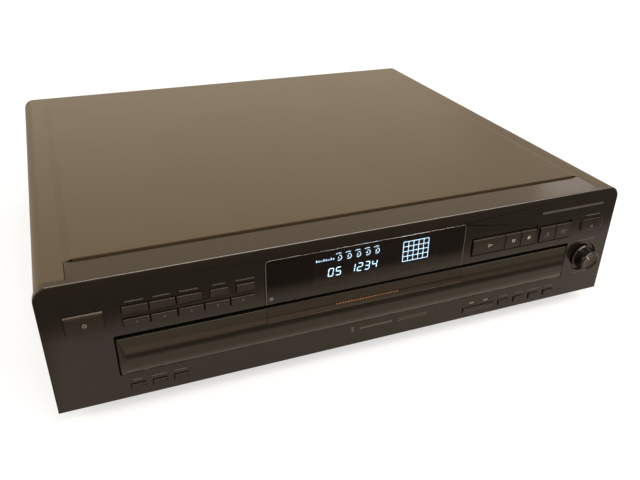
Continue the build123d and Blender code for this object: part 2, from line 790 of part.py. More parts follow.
with BuildPart() as mechanism_deck:
    with BuildSketch(Plane.XY.offset(deck_z)):
        with Locations((0, (deck_front + deck_rear) / 2)):
            Rectangle(2 * rail_outer, deck_rear - deck_front)
        # Opening for the disc drive unit, narrow at its hinge
        with Locations((0, (hinge_y + 12 + deck_rear + 10) / 2)):
            Rectangle(2 * unit_half + 20, deck_rear + 10 - hinge_y - 12, mode=Mode.SUBTRACT)
        with Locations((0, hinge_y)):
            Rectangle(2 * (unit_half + unit_gap), 32, mode=Mode.SUBTRACT)
        with Locations((motor_x, drive_y)):
            Circle(3, mode=Mode.SUBTRACT)
    extrude(amount=deck_plate)
    for side in (-1, 1):
        block(side * runner_x - 2, side * runner_x + 2, deck_front, deck_rear, deck_top, rib_z - fit)
        rail_x = side * (rail_inner + rail_wall / 2)
        block(rail_x - rail_wall / 2, rail_x + rail_wall / 2, deck_front, deck_rear, deck_z, rim_z + fit)
        tab_x = side * (rail_outer + tray_half - 2.2) / 2
        tab_half = (rail_outer - tray_half + 2.2) / 2
        for y in tab_places:
            block(tab_x - tab_half, tab_x + tab_half, y - 8, y + 8, rim_z + fit, rim_z + fit + 2)
        # Ear that carries the drive unit's hinge pin
        with BuildSketch(Plane.YZ.offset(side * (ear_inner + ear_wall / 2))):
            with BuildLine():
                foot = (hinge_y - 9, deck_z)
                Polyline(foot, (hinge_y + 9, deck_z), (hinge_y + 4.5, hinge_z))
                RadiusArc((hinge_y + 4.5, hinge_z), (hinge_y - 4.5, hinge_z), -4.5)
                Line((hinge_y - 4.5, hinge_z), foot)
            make_face()
        extrude(amount=ear_wall / 2, both=True)
    with BuildSketch(Plane.YZ.offset(-rail_inner)):
        with Locations((hinge_y, hinge_z)):
            Circle(pin_radius + running)
    extrude(amount=2 * rail_inner, mode=Mode.SUBTRACT)
    for x, y in leg_places:
        post(x, y, pan_top, deck_z, 5)
    post(pinion_x, drive_y, deck_top, tray_z - 2 * fit, 2)
save(mechanism_deck, "mechanism_deck")

# ---------------------------------------------------------------- loading drive
pulley_z = deck_top + 0.6
pulley_height = 4.2
groove_depth = 1.8


def pulley(x, y, radius, bore):
    """A grooved belt pulley standing on the deck."""
    with BuildPart() as wheel:
        with BuildSketch(Plane(origin=(x, y, pulley_z), x_dir=(1, 0, 0), z_dir=(0, -1, 0))):
            with BuildLine():
                Polyline(
                    (bore, 0), (radius, 0), (radius, 0.7), (radius - groove_depth, 1.3),
                    (radius - groove_depth, pulley_height - 1.3), (radius, pulley_height - 0.7),
                    (radius, pulley_height), (bore, pulley_height), close=True,
                )
            make_face()
        revolve(axis=Axis((x, y, 0), (0, 0, 1)))
    return wheel


with BuildPart() as loading_motor:
    with BuildSketch(Plane.XY.offset(pan_top + 0.8)):
        with Locations((motor_x, drive_y)):
            Circle(12)
            Rectangle(24, 18, mode=Mode.INTERSECT)
    extrude(amount=deck_z - pan_top - 0.8)
    post(motor_x, drive_y, deck_z, deck_z + 1.5, 2.8)
    post(motor_x, drive_y, deck_z, pulley_z + pulley_height + 1, 1)
save(loading_motor, "loading_motor")

motor_pulley = pulley(motor_x, drive_y, motor_pulley_radius, 1 + running)
save(motor_pulley, "motor_pulley")

with BuildPart() as pinion_teeth_part:
    with BuildSketch(Plane.XY.offset(rib_z - fit)):
        with BuildLine():
            Polyline(*gear_points(pinion_teeth, rack_module), close=True)
        make_face()
        Circle(2 + running, mode=Mode.SUBTRACT)
    extrude(amount=rib_height)
pinion_moved = pinion_teeth_part.part.moved(Location((pinion_x, drive_y, 0)))
with BuildPart() as loading_pinion:
    add(pinion_moved)
    add(pulley(pinion_x, drive_y, pulley_radius, 2 + running).part)
    post(pinion_x, drive_y, pulley_z + pulley_height, rib_z - fit, 7.5)
    post(pinion_x, drive_y, pulley_z, tray_z, 2 + running, mode=Mode.SUBTRACT)
save(loading_pinion, "loading_pinion")

with BuildPart() as loading_belt:
    belt_places = ((motor_x, motor_pulley_radius), (pinion_x, pulley_radius))
    with BuildSketch(Plane.XY.offset(pulley_z + 1.5)):
        for x, radius in belt_places:
            with Locations((x, drive_y)):
                Circle(radius - groove_depth + fit + belt_size)
        make_hull()
    extrude(amount=pulley_height - 3)
    with BuildSketch(Plane.XY.offset(pulley_z + 1.5)):
        for x, radius in belt_places:
            with Locations((x, drive_y)):
                Circle(radius - groove_depth + fit)
        make_hull()
    extrude(amount=pulley_height - 3, mode=Mode.SUBTRACT)
save(loading_belt, "loading_belt")

# ---------------------------------------------------------------- disc drive unit
# Drawn in the cradle's own frame: its origin is the hinge, local y runs to the spindle.
spindle_v = spindle_y - hinge_y
seat_w = turntable_top - hinge_z
frame_top = seat_w - 12.5
frame_nose = 3.0         # bevel that lets the table's ring pass over the lowered frame
frame_plate = 2.5
frame_low = 6.0
frame_wall = 2.0
frame_front = -6.0
frame_rear = spindle_v + 22.0
pickup_v = spindle_v - pickup_home
body_front = pickup_v - 18.0
body_rear = pickup_v + 8.0
body_half = 22.0
bay_front = body_front - pickup_travel - 2.0
bay_rear = body_rear + 1.0
motor_radius = 11.5
rod_x = 17.0
rod_w = frame_low + 4.0
rod_middle = (frame_front + bay_rear + frame_wall) / 2
rod_length = bay_rear + frame_wall - frame_front - 1

with BuildPart(cradle) as drive_frame:
    block(-unit_half, unit_half, frame_front, frame_rear, frame_low, frame_top)
    upright = Axis(cradle.origin, cradle.z_dir)
    fillet(drive_frame.edges().filter_by(upright).sort_by(Axis.Y)[-2:], 6)
    front_edges = drive_frame.edges().filter_by(Axis.X).sort_by(Axis.Y)[:2]
    chamfer(front_edges.sort_by(Axis.Z)[-1], frame_nose - 0.01)
    block(frame_wall - unit_half, unit_half - frame_wall, bay_rear + frame_wall, frame_rear - frame_wall,
          frame_low - 1, frame_top - frame_plate, mode=Mode.SUBTRACT)
    for side in (-1, 1):
        pocket_x = side * (body_half + 2 + 2 + unit_half - frame_wall) / 2
        pocket_half = (unit_half - frame_wall - body_half - 4) / 2
        block(pocket_x - pocket_half, pocket_x + pocket_half, bay_front, bay_rear,
              frame_low - 1, frame_top - frame_plate, mode=Mode.SUBTRACT)
        ear_x = side * (unit_half - 2.5)
        block(ear_x - 2.5, ear_x + 2.5, frame_front, -frame_front, -4, frame_low)
    block(-body_half - 2, body_half + 2, bay_front, bay_rear, frame_low - 1, frame_top + 1,
          mode=Mode.SUBTRACT)
    post(0, spindle_v, frame_low, frame_top + 1, 6, mode=Mode.SUBTRACT)
    pin_length = unit_gap + fit + ear_wall + 1
    for side in (-1, 1):
        with Locations(Location((side * rod_x, rod_middle, rod_w), (90, 0, 0))):
            Cylinder(rod_radius + running, rod_length + 0.4, mode=Mode.SUBTRACT)
        with Locations(Location((side * (unit_half + pin_length / 2 - 0.5), 0, 0), (0, 90, 0))):
            Cylinder(pin_radius, pin_length)
save(drive_frame, "drive_frame")

with BuildPart(cradle) as guide_rods:
    for side in (-1, 1):
        with Locations(Location((side * rod_x, rod_middle, rod_w), (90, 0, 0))):
            Cylinder(rod_radius, rod_length)
save(guide_rods, "guide_rods")

with BuildPart(cradle) as spindle_motor:
    post(0, spindle_v, 4, frame_top - frame_plate, motor_radius)
    post(0, spindle_v, frame_top - frame_plate, frame_top, 4)
    post(0, spindle_v, frame_top, seat_w - 1, 1)
save(spindle_motor, "spindle_motor")

with BuildPart(cradle) as spindle_turntable:
    post(0, spindle_v, frame_top + 1, seat_w - 2.5, 5)
    post(0, spindle_v, seat_w - 2.5, seat_w, 15)
    post(0, spindle_v, seat_w, seat_w + 1.6, 7.4)
    chamfer(spindle_turntable.edges().sort_by(lambda edge: (edge @ 0.5).Z)[-1], 1.2)
    post(0, spindle_v, frame_top, seat_w - 0.8, 1 + running, mode=Mode.SUBTRACT)
save(spindle_turntable, "spindle_turntable")

with BuildPart(cradle) as optical_pickup:
    block(-body_half, body_half, body_front, body_rear, frame_low + 0.5, frame_top + 0.5)
    for side in (-1, 1):
        block(side * (body_half - 4) - 6, side * (body_half - 4) + 6, body_front - 1, body_rear - 6,
              frame_top - 0.5, frame_top + 1, mode=Mode.SUBTRACT)
        with Locations(Location((side * rod_x, pickup_v - 5, rod_w), (90, 0, 0))):
            Cylinder(rod_radius + running, 60, mode=Mode.SUBTRACT)
    post(0, pickup_v, frame_top + 0.5, seat_w - 5, 7)
    post(0, pickup_v, seat_w - 5, seat_w - 2.2, 3.5)
save(optical_pickup, "optical_pickup")

with BuildPart(cradle) as feed_motor:
    block(body_half + 4.5, unit_half - frame_wall - 0.5, bay_rear - 24, bay_rear - 2,
          frame_low + 0.5, frame_top - frame_plate)
save(feed_motor, "feed_motor")

# ---------------------------------------------------------------- clamp
bridge_z = turntable_top + 10.0
bridge_sheet = 1.2
bridge_half = rail_outer + 8.0
bridge_depth = 30.0
puck_low = turntable_top + 1.6
puck_neck = 9.0
puck_recess = 2.0

with BuildPart() as clamp_bridge:
    with BuildSketch(Plane.XZ.offset(bridge_depth / 2 - spindle_y)):
        with BuildLine():
            outer = [(bridge_half + 13, pan_top), (bridge_half + 13, pan_top + bridge_sheet),
                     (bridge_half + bridge_sheet, pan_top + bridge_sheet),
                     (bridge_half + bridge_sheet, bridge_z + bridge_sheet)]
            inner = [(bridge_half, bridge_z), (bridge_half, pan_top)]
            left_outer = [(-x, z) for x, z in reversed(outer)]
            left_inner = [(-x, z) for x, z in reversed(inner)]
            Polyline(*outer, *left_outer, *left_inner, *inner, close=True)
        make_face()
    extrude(amount=-bridge_depth)
    for y in (spindle_y - bridge_depth / 2, spindle_y + bridge_depth / 2 - bridge_sheet):
        block(-bridge_half + 12, bridge_half - 12, y, y + bridge_sheet, bridge_z, bridge_z + 6)
    post(0, spindle_y, bridge_z - 1, bridge_z + 3, puck_neck + 2 * fit, mode=Mode.SUBTRACT)
save(clamp_bridge, "clamp_bridge")

with BuildPart() as clamp_puck:
    with BuildSketch(Plane.XZ.offset(-spindle_y)):
        with BuildLine():
            Polyline(
                (0, puck_low + puck_recess), (8.2, puck_low + puck_recess), (8.2, puck_low),
                (14, puck_low), (15.5, puck_low + 0.8), (15.5, puck_low + 3.5),
                (puck_neck, bridge_z - 2.5), (puck_neck, bridge_z + bridge_sheet + fit),
                (12, bridge_z + bridge_sheet + fit), (12, bridge_z + bridge_sheet + 2),
                (0, bridge_z + bridge_sheet + 2.6), close=True,
            )
        make_face()
    revolve(axis=Axis((0, spindle_y, 0), (0, 0, 1)))
save(clamp_puck, "clamp_puck")

# ---------------------------------------------------------------- power and main board
core_x = 39.0 - panel_half
core_y = 152.0
core_z = pan_top + 1.2

with BuildPart() as power_transformer:
    block(core_x - 29, core_x + 29, core_y - 13, core_y + 13, core_z, core_z + 48)
    block(core_x - 17, core_x + 17, core_y - 25, core_y + 25, core_z + 8, core_z + 40)
    fillet(power_transformer.edges().filter_by(Axis.X).group_by(Axis.Y)[0], 6)
    fillet(power_transformer.edges().filter_by(Axis.X).group_by(Axis.Y)[-1], 6)
    for side in (-1, 1):
        y = core_y + side * 20
        block(core_x - 29, core_x - 18, y - 8, y + 8, core_z, core_z + 1.5)
        block(core_x + 18, core_x + 29, y - 8, y + 8, core_z, core_z + 1.5)
save(power_transformer, "power_transformer")

board_top = main_board_z + 1.6
board_rear = rear_y - sheet - fit
with BuildPart() as main_board:
    block(board_left, board_right, 118, board_rear, main_board_z, board_top)
    post(board_right - 20, 144, board_top, board_top + 30, 9)
    post(board_right - 38, 164, board_top, board_top + 22, 6.5)
    post(board_right - 16, 168, board_top, board_top + 22, 6.5)
    for x, y, length, width in [(18, 126, 18, 12), (50, 132, 28, 28), (83, 124, 14, 8), (12, 160, 12, 16)]:
        chip_left = board_left + x
        block(chip_left, chip_left + length, y, y + width, board_top, board_top + 2.6)
    # Finned heat sink
    block(board_right - 7, board_right - 5, 122, 176, board_top, board_top + 28)
    for number in range(7):
        fin_y = 123 + 8.5 * number
        block(board_right - 5, board_right, fin_y, fin_y + 1.5, board_top, board_top + 28)
save(main_board, "main_board")

# ---------------------------------------------------------------- rear sockets
jack_shoulder = back_y + 2.0
jack_tip = back_y + jack_reach
with BuildPart() as audio_jacks:
    block(jack_places[0][0] - 9, jack_places[1][0] + 9, rear_y - 14, rear_y, board_top, jack_z + 8)
    with BuildSketch(Plane.XZ.offset(-rear_y)):
        with Locations(*jack_places):
            Circle(6.0)
    extrude(amount=-(jack_shoulder - rear_y))
    with BuildSketch(Plane.XZ.offset(-jack_shoulder)):
        with Locations(*jack_places):
            Circle(jack_radius)
    extrude(amount=-(jack_tip - jack_shoulder))
    with BuildSketch(Plane.XZ.offset(-jack_tip)):
        with Locations(*jack_places):
            Circle(jack_core)
    extrude(amount=jack_tip - jack_shoulder, mode=Mode.SUBTRACT)
save(audio_jacks, "audio_jacks")

optical_mouth = 4.3
with BuildPart() as optical_output:
    block(optical_x - optical_half, optical_x + optical_half, rear_y - 14, rear_y - fit,
          board_top, optical_z + optical_half)
    block(optical_x - optical_half, optical_x + optical_half, rear_y - fit, back_y + 1.5,
          optical_z - optical_half, optical_z + optical_half)
    block(optical_x - optical_mouth, optical_x + optical_mouth, rear_y - 8, back_y + 2,
          optical_z - optical_mouth, optical_z + optical_mouth, mode=Mode.SUBTRACT)
save(optical_output, "optical_output")

with BuildPart() as cord_gland:
    with BuildSketch(Plane(origin=(cord_x, rear_y, cord_z), x_dir=(1, 0, 0), z_dir=(0, 0, -1))):
        with BuildLine():
            Polyline(
                (cord_radius, 7.0), (6.4, 7.0), (6.4, -sheet), (8.5, -sheet), (8.5, -sheet - 2.5),
                (6.0, -sheet - 6.0), (cord_radius, -sheet - 6.0), close=True,
            )
        make_face()
    revolve(axis=Axis((cord_x, rear_y, cord_z), (0, 1, 0)))
save(cord_gland, "cord_gland")
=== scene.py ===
"""Looks of a five-disc carousel player, dressed over its packed construction.

Metres, in the construction's own frame: X runs to the right, Y to the back and Z up. Sizes in the
classes below are in millimetres, as on a maker's drawing, and MM turns them into metres.
"""

import json
import logging
import math
from dataclasses import dataclass, field
from enum import Enum
from typing import Callable, Iterable, Optional, Sequence

import bmesh
import bpy
from mathutils import Matrix, Vector


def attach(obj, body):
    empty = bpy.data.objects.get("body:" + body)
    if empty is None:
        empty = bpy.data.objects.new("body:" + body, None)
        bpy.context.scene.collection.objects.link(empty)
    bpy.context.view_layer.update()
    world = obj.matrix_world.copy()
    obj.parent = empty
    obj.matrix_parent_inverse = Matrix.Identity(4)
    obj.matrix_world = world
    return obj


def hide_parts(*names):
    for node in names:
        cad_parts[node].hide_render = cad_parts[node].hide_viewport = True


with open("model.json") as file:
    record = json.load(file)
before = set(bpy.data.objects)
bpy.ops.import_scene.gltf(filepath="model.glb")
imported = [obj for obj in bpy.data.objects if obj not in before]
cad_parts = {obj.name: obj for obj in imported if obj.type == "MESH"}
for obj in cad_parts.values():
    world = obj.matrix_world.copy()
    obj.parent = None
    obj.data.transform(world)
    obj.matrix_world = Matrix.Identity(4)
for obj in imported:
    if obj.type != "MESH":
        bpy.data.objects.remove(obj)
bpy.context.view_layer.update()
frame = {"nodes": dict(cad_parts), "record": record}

MM = 0.001
FACE_Y = -190.0   # front face of the panel
BASE_Z = 13.0     # underside of the panel
LOG = logging.getLogger("player")

Point = tuple[float, float, float]
Colour = tuple[float, float, float]


class Segment(Enum):
    """The seven bars of a numeral, with their ends in a cell one wide and two high."""

    TOP = ((0.0, 2.0), (1.0, 2.0))
    UPPER_RIGHT = ((1.0, 2.0), (1.0, 1.0))
    LOWER_RIGHT = ((1.0, 1.0), (1.0, 0.0))
    BOTTOM = ((0.0, 0.0), (1.0, 0.0))
    LOWER_LEFT = ((0.0, 1.0), (0.0, 0.0))
    UPPER_LEFT = ((0.0, 2.0), (0.0, 1.0))
    MIDDLE = ((0.0, 1.0), (1.0, 1.0))


NUMERALS: dict[str, tuple[Segment, ...]] = {
    "0": (Segment.TOP, Segment.UPPER_RIGHT, Segment.LOWER_RIGHT, Segment.BOTTOM, Segment.LOWER_LEFT,
          Segment.UPPER_LEFT),
    "1": (Segment.UPPER_RIGHT, Segment.LOWER_RIGHT),
    "2": (Segment.TOP, Segment.UPPER_RIGHT, Segment.MIDDLE, Segment.LOWER_LEFT, Segment.BOTTOM),
    "3": (Segment.TOP, Segment.UPPER_RIGHT, Segment.MIDDLE, Segment.LOWER_RIGHT, Segment.BOTTOM),
    "4": (Segment.UPPER_LEFT, Segment.MIDDLE, Segment.UPPER_RIGHT, Segment.LOWER_RIGHT),
    "5": (Segment.TOP, Segment.UPPER_LEFT, Segment.MIDDLE, Segment.LOWER_RIGHT, Segment.BOTTOM),
}


# ------------------------------------------------------------------------------- bench
class Bench:
    """Modelling by hand: primitives, edit-mode operators and modifiers on one mesh at a time."""

    @staticmethod
    def clear() -> None:
        """Leave nothing selected and nothing in edit mode."""
        if bpy.context.object is not None and bpy.context.object.mode != "OBJECT":
            bpy.ops.object.mode_set(mode="OBJECT")
        bpy.ops.object.select_all(action="DESELECT")

    @staticmethod
    def take(piece: bpy.types.Object) -> None:
        """Make one piece the selected and active one.

        Args:
            piece: The piece to work on.
        """
        Bench.clear()
        piece.select_set(True)
        bpy.context.view_layer.objects.active = piece

    @staticmethod
    def settle(piece: bpy.types.Object) -> bpy.types.Object:
        """Put a piece's place into its mesh, so that its object sits at the origin.

        Args:
            piece: The piece to settle.

        Returns:
            The same piece.
        """
        Bench.take(piece)
        bpy.ops.object.transform_apply(location=True, rotation=True, scale=True)
        return piece

    @staticmethod
    def block(name: str, low: Point, high: Point) -> bpy.types.Object:
        """A block between two corners, in millimetres.

        Args:
            name: Name of the new piece.
            low: Lowest corner.
            high: Highest corner.

        Returns:
            The new piece.
        """
        Bench.clear()
        middle = [(a + b) / 2 * MM for a, b in zip(low, high)]
        bpy.ops.mesh.primitive_cube_add(size=1, location=middle)
        piece = bpy.context.object
        piece.name = name
        piece.scale = [(b - a) * MM for a, b in zip(low, high)]
        return Bench.settle(piece)

    @staticmethod
    def lathe(name: str, centre: Point, profile: Sequence[tuple[float, float]], turn: Matrix,
              sides: int = 64) -> bpy.types.Object:
        """A turned piece: a disc drawn up ring by ring along a profile.

        Args:
            name: Name of the new piece.
            centre: Foot of its axis, in millimetres.
            profile: Radius and height of each ring, from the foot up.
            turn: Turns the axis from upright to where it points.
            sides: Corners of each ring.

        Returns:
            The new piece.
        """
        Bench.clear()
        bpy.ops.mesh.primitive_circle_add(vertices=sides, radius=profile[0][0] * MM, fill_type="NGON",
                                          location=(0, 0, profile[0][1] * MM))
        piece = Bench.settle(bpy.context.object)
        piece.name = name
        bpy.ops.object.mode_set(mode="EDIT")
        bpy.ops.mesh.select_all(action="SELECT")
        for (radius, height), (wider, higher) in zip(profile, profile[1:]):
            bpy.ops.mesh.extrude_region_move(
                TRANSFORM_OT_translate={"value": (0, 0, (higher - height) * MM)})
            scale = wider / radius
            bpy.ops.transform.resize(value=(scale, scale, 1), center_override=(0, 0, higher * MM))
        bpy.ops.mesh.select_all(action="SELECT")
        bpy.ops.mesh.normals_make_consistent(inside=False)
        bpy.ops.object.mode_set(mode="OBJECT")
        piece.matrix_world = Matrix.Translation([c * MM for c in centre]) @ turn
        return Bench.settle(piece)

    @staticmethod
    def pick(piece: bpy.types.Object, faces: Optional[Callable[[Vector, Vector], bool]] = None,
             edges: Optional[Callable[[Vector, Vector], bool]] = None,
             points: Optional[Callable[[Vector], bool]] = None) -> None:
        """Enter edit mode with only the faces, edges or points that a test chooses.

        Args:
            piece: The piece to select on.
            faces: Test of a face's middle and normal.
            edges: Test of an edge's two ends.
            points: Test of a point.
        """
        Bench.take(piece)
        bpy.ops.object.mode_set(mode="EDIT")
        kind = "FACE" if faces else "EDGE" if edges else "VERT"
        bpy.ops.mesh.select_mode(type=kind)
        bpy.ops.mesh.select_all(action="DESELECT")
        mesh = bmesh.from_edit_mesh(piece.data)
        if faces:
            for face in mesh.faces:
                face.select_set(faces(face.calc_center_median(), face.normal))
        if edges:
            for edge in mesh.edges:
                edge.select_set(edges(edge.verts[0].co, edge.verts[1].co))
        if points:
            for vert in mesh.verts:
                vert.select_set(points(vert.co))
        mesh.select_flush_mode()
        bmesh.update_edit_mesh(piece.data)

    @staticmethod
    def done() -> None:
        """Go back to object mode."""
        bpy.ops.object.mode_set(mode="OBJECT")

    @staticmethod
    def soften(piece: bpy.types.Object, width: float, segments: int = 2, angle: float = 32.0,
               smooth: float = 35.0) -> None:
        """Round a piece's sharp edges with a bevel, and smooth its shading.

        Args:
            piece: The piece.
            width: Width of the bevel, in millimetres.
            segments: Facets across it.
            angle: Edges sharper than this are rounded, in degrees.
            smooth: Edges flatter than this shade as one surface, in degrees.
        """
        Bench.take(piece)
        bevel = piece.modifiers.new("edges", "BEVEL")
        bevel.width = width * MM
        bevel.segments = segments
        bevel.limit_method = "ANGLE"
        bevel.angle_limit = math.radians(angle)
        bevel.use_clamp_overlap = False
        bevel.miter_outer = "MITER_ARC"
        bpy.ops.object.modifier_apply(modifier=bevel.name)
        bpy.ops.object.shade_smooth_by_angle(angle=math.radians(smooth))
        flat = piece.modifiers.new("flat_faces", "WEIGHTED_NORMAL")
        flat.weight = 100
        flat.keep_sharp = True
        bpy.ops.object.modifier_apply(modifier=flat.name)

    @staticmethod
    def copy_node(node: str) -> bpy.types.Object:
        """A merged copy of a construction node.

        Args:
            node: Name of the construction node.

        Returns:
            The copy, which then stands for the node.
        """
        Bench.clear()
        source = frame["nodes"][node]
        piece = bpy.data.objects.new(f"{node}_finished", source.data.copy())
        bpy.context.scene.collection.objects.link(piece)
        Bench.take(piece)
        if piece.data.has_custom_normals:
            bpy.ops.mesh.customdata_custom_splitnormals_clear()
        bpy.ops.object.mode_set(mode="EDIT")
        bpy.ops.mesh.select_mode(type="VERT")
        bpy.ops.mesh.select_all(action="SELECT")
        bpy.ops.mesh.remove_doubles(threshold=2e-6)
        bpy.ops.object.mode_set(mode="OBJECT")
        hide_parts(node)
        return piece

    @staticmethod
    def plate(name: str, corners: Sequence[tuple[float, float]], place: Matrix,
              thickness: float = 0.04) -> bpy.types.Object:
        """A thin flat plate, such as one printed mark, with its outline in its own plane.

        Args:
            name: Name of the new piece.
            corners: Outline, in millimetres, anticlockwise.
            place: Puts the plate's plane into the frame; its z comes out of the surface.
            thickness: How far it stands out, in millimetres.

        Returns:
            The new piece.
        """
        Bench.clear()
        mesh = bpy.data.meshes.new(name)
        mesh.from_pydata([(x * MM, y * MM, 0) for x, y in corners], [], [list(range(len(corners)))])
        piece = bpy.data.objects.new(name, mesh)
        bpy.context.scene.collection.objects.link(piece)
        Bench.take(piece)
        bpy.ops.object.mode_set(mode="EDIT")
        bpy.ops.mesh.select_all(action="SELECT")
        bpy.ops.mesh.extrude_region_move(TRANSFORM_OT_translate={"value": (0, 0, thickness * MM)})
        bpy.ops.mesh.select_all(action="SELECT")
        bpy.ops.mesh.normals_make_consistent(inside=False)
        bpy.ops.object.mode_set(mode="OBJECT")
        piece.matrix_world = place
        return Bench.settle(piece)

    @staticmethod
    def numeral(name: str, text: str, size: float, place: Matrix) -> bpy.types.Object:
        """A printed numeral or two, made a mesh and set in place.

        Args:
            name: Name of the new piece.
            text: The numerals.
            size: Height of the type, in millimetres.
            place: Puts the print's plane into the frame.

        Returns:
            The new piece.
        """
        Bench.clear()
        bpy.ops.object.text_add(location=(0, 0, 0))
        piece = bpy.context.object
        piece.data.body = text
        piece.data.align_x = "CENTER"
        piece.data.align_y = "CENTER"
        piece.data.size = size * MM / 0.7
        piece.data.extrude = 0.02 * MM
        piece.data.resolution_u = 4
        bpy.ops.object.convert(target="MESH")
        piece = bpy.context.object
        piece.name = name
        piece.matrix_world = place
        return Bench.settle(piece)

    @staticmethod
    def join(name: str, pieces: Sequence[bpy.types.Object]) -> bpy.types.Object:
        """Join several pieces of one finish into one.

        Args:
            name: Name of the joined piece.
            pieces: The pieces.

        Returns:
            The joined piece.
        """
        Bench.clear()
        for piece in pieces:
            piece.select_set(True)
        bpy.context.view_layer.objects.active = pieces[0]
        if len(pieces) > 1:
            bpy.ops.object.join()
        joined = bpy.context.object
        joined.name = name
        return joined


def upright(x: float, y: float, z: float, tilt: float = 0.0, slant: float = 0.0) -> Matrix:
    """The place of a print on the front: its x runs right, its y up, and its z to the front.

    Args:
        x: Centre, in millimetres.
        y: Depth of the surface.
        z: Height.
        tilt: Angle by which the surface leans back towards its lower edge, in radians.
        slant: Turn within the surface, in radians.

    Returns:
        The matrix.
    """
    turn = Matrix.Rotation(math.pi / 2 + tilt, 4, "X") @ Matrix.Rotation(slant, 4, "Z")
    return Matrix.Translation((x * MM, y * MM, z * MM)) @ turn


# ------------------------------------------------------------------------------- finishes
@dataclass(frozen=True)
class Finish:
    """One finish: its colours, how it shines, and how its surface varies.

    Attributes:
        name: Name of the material.
        colour: Main colour, linear.
        second: Colour of its rubbed, dusty or mottled places.
        rough: Roughness where it is clean, and where it is handled or dusty.
        metal: Metallic.
        grain: Grains per metre of the fine bump.
        depth: Depth of the bump, in millimetres.
        mottle: Share of the second colour at large.
        dust: Share of dust on faces that look up.
        specular: Specular level.
        coat: Weight of the clear coat.
        stretch: Stretch of the grain along X, Y and Z.
        scuffs: Share of fine scratches.
        tint: Tint of the reflection seen face on.
        film: Colour of painted sheen on faces that look up, where light falls on them from above, or nothing.
    """

    name: str
    colour: Colour
    second: Colour
    rough: tuple[float, float] = (0.4, 0.55)
    metal: float = 0.0
    grain: float = 3000.0
    depth: float = 0.02
    mottle: float = 0.3
    dust: float = 0.0
    specular: float = 0.5
    coat: float = 0.0
    stretch: Point = (1.0, 1.0, 1.0)
    scuffs: float = 0.0
    tint: Colour = (1.0, 1.0, 1.0)
    film: Optional[Colour] = None


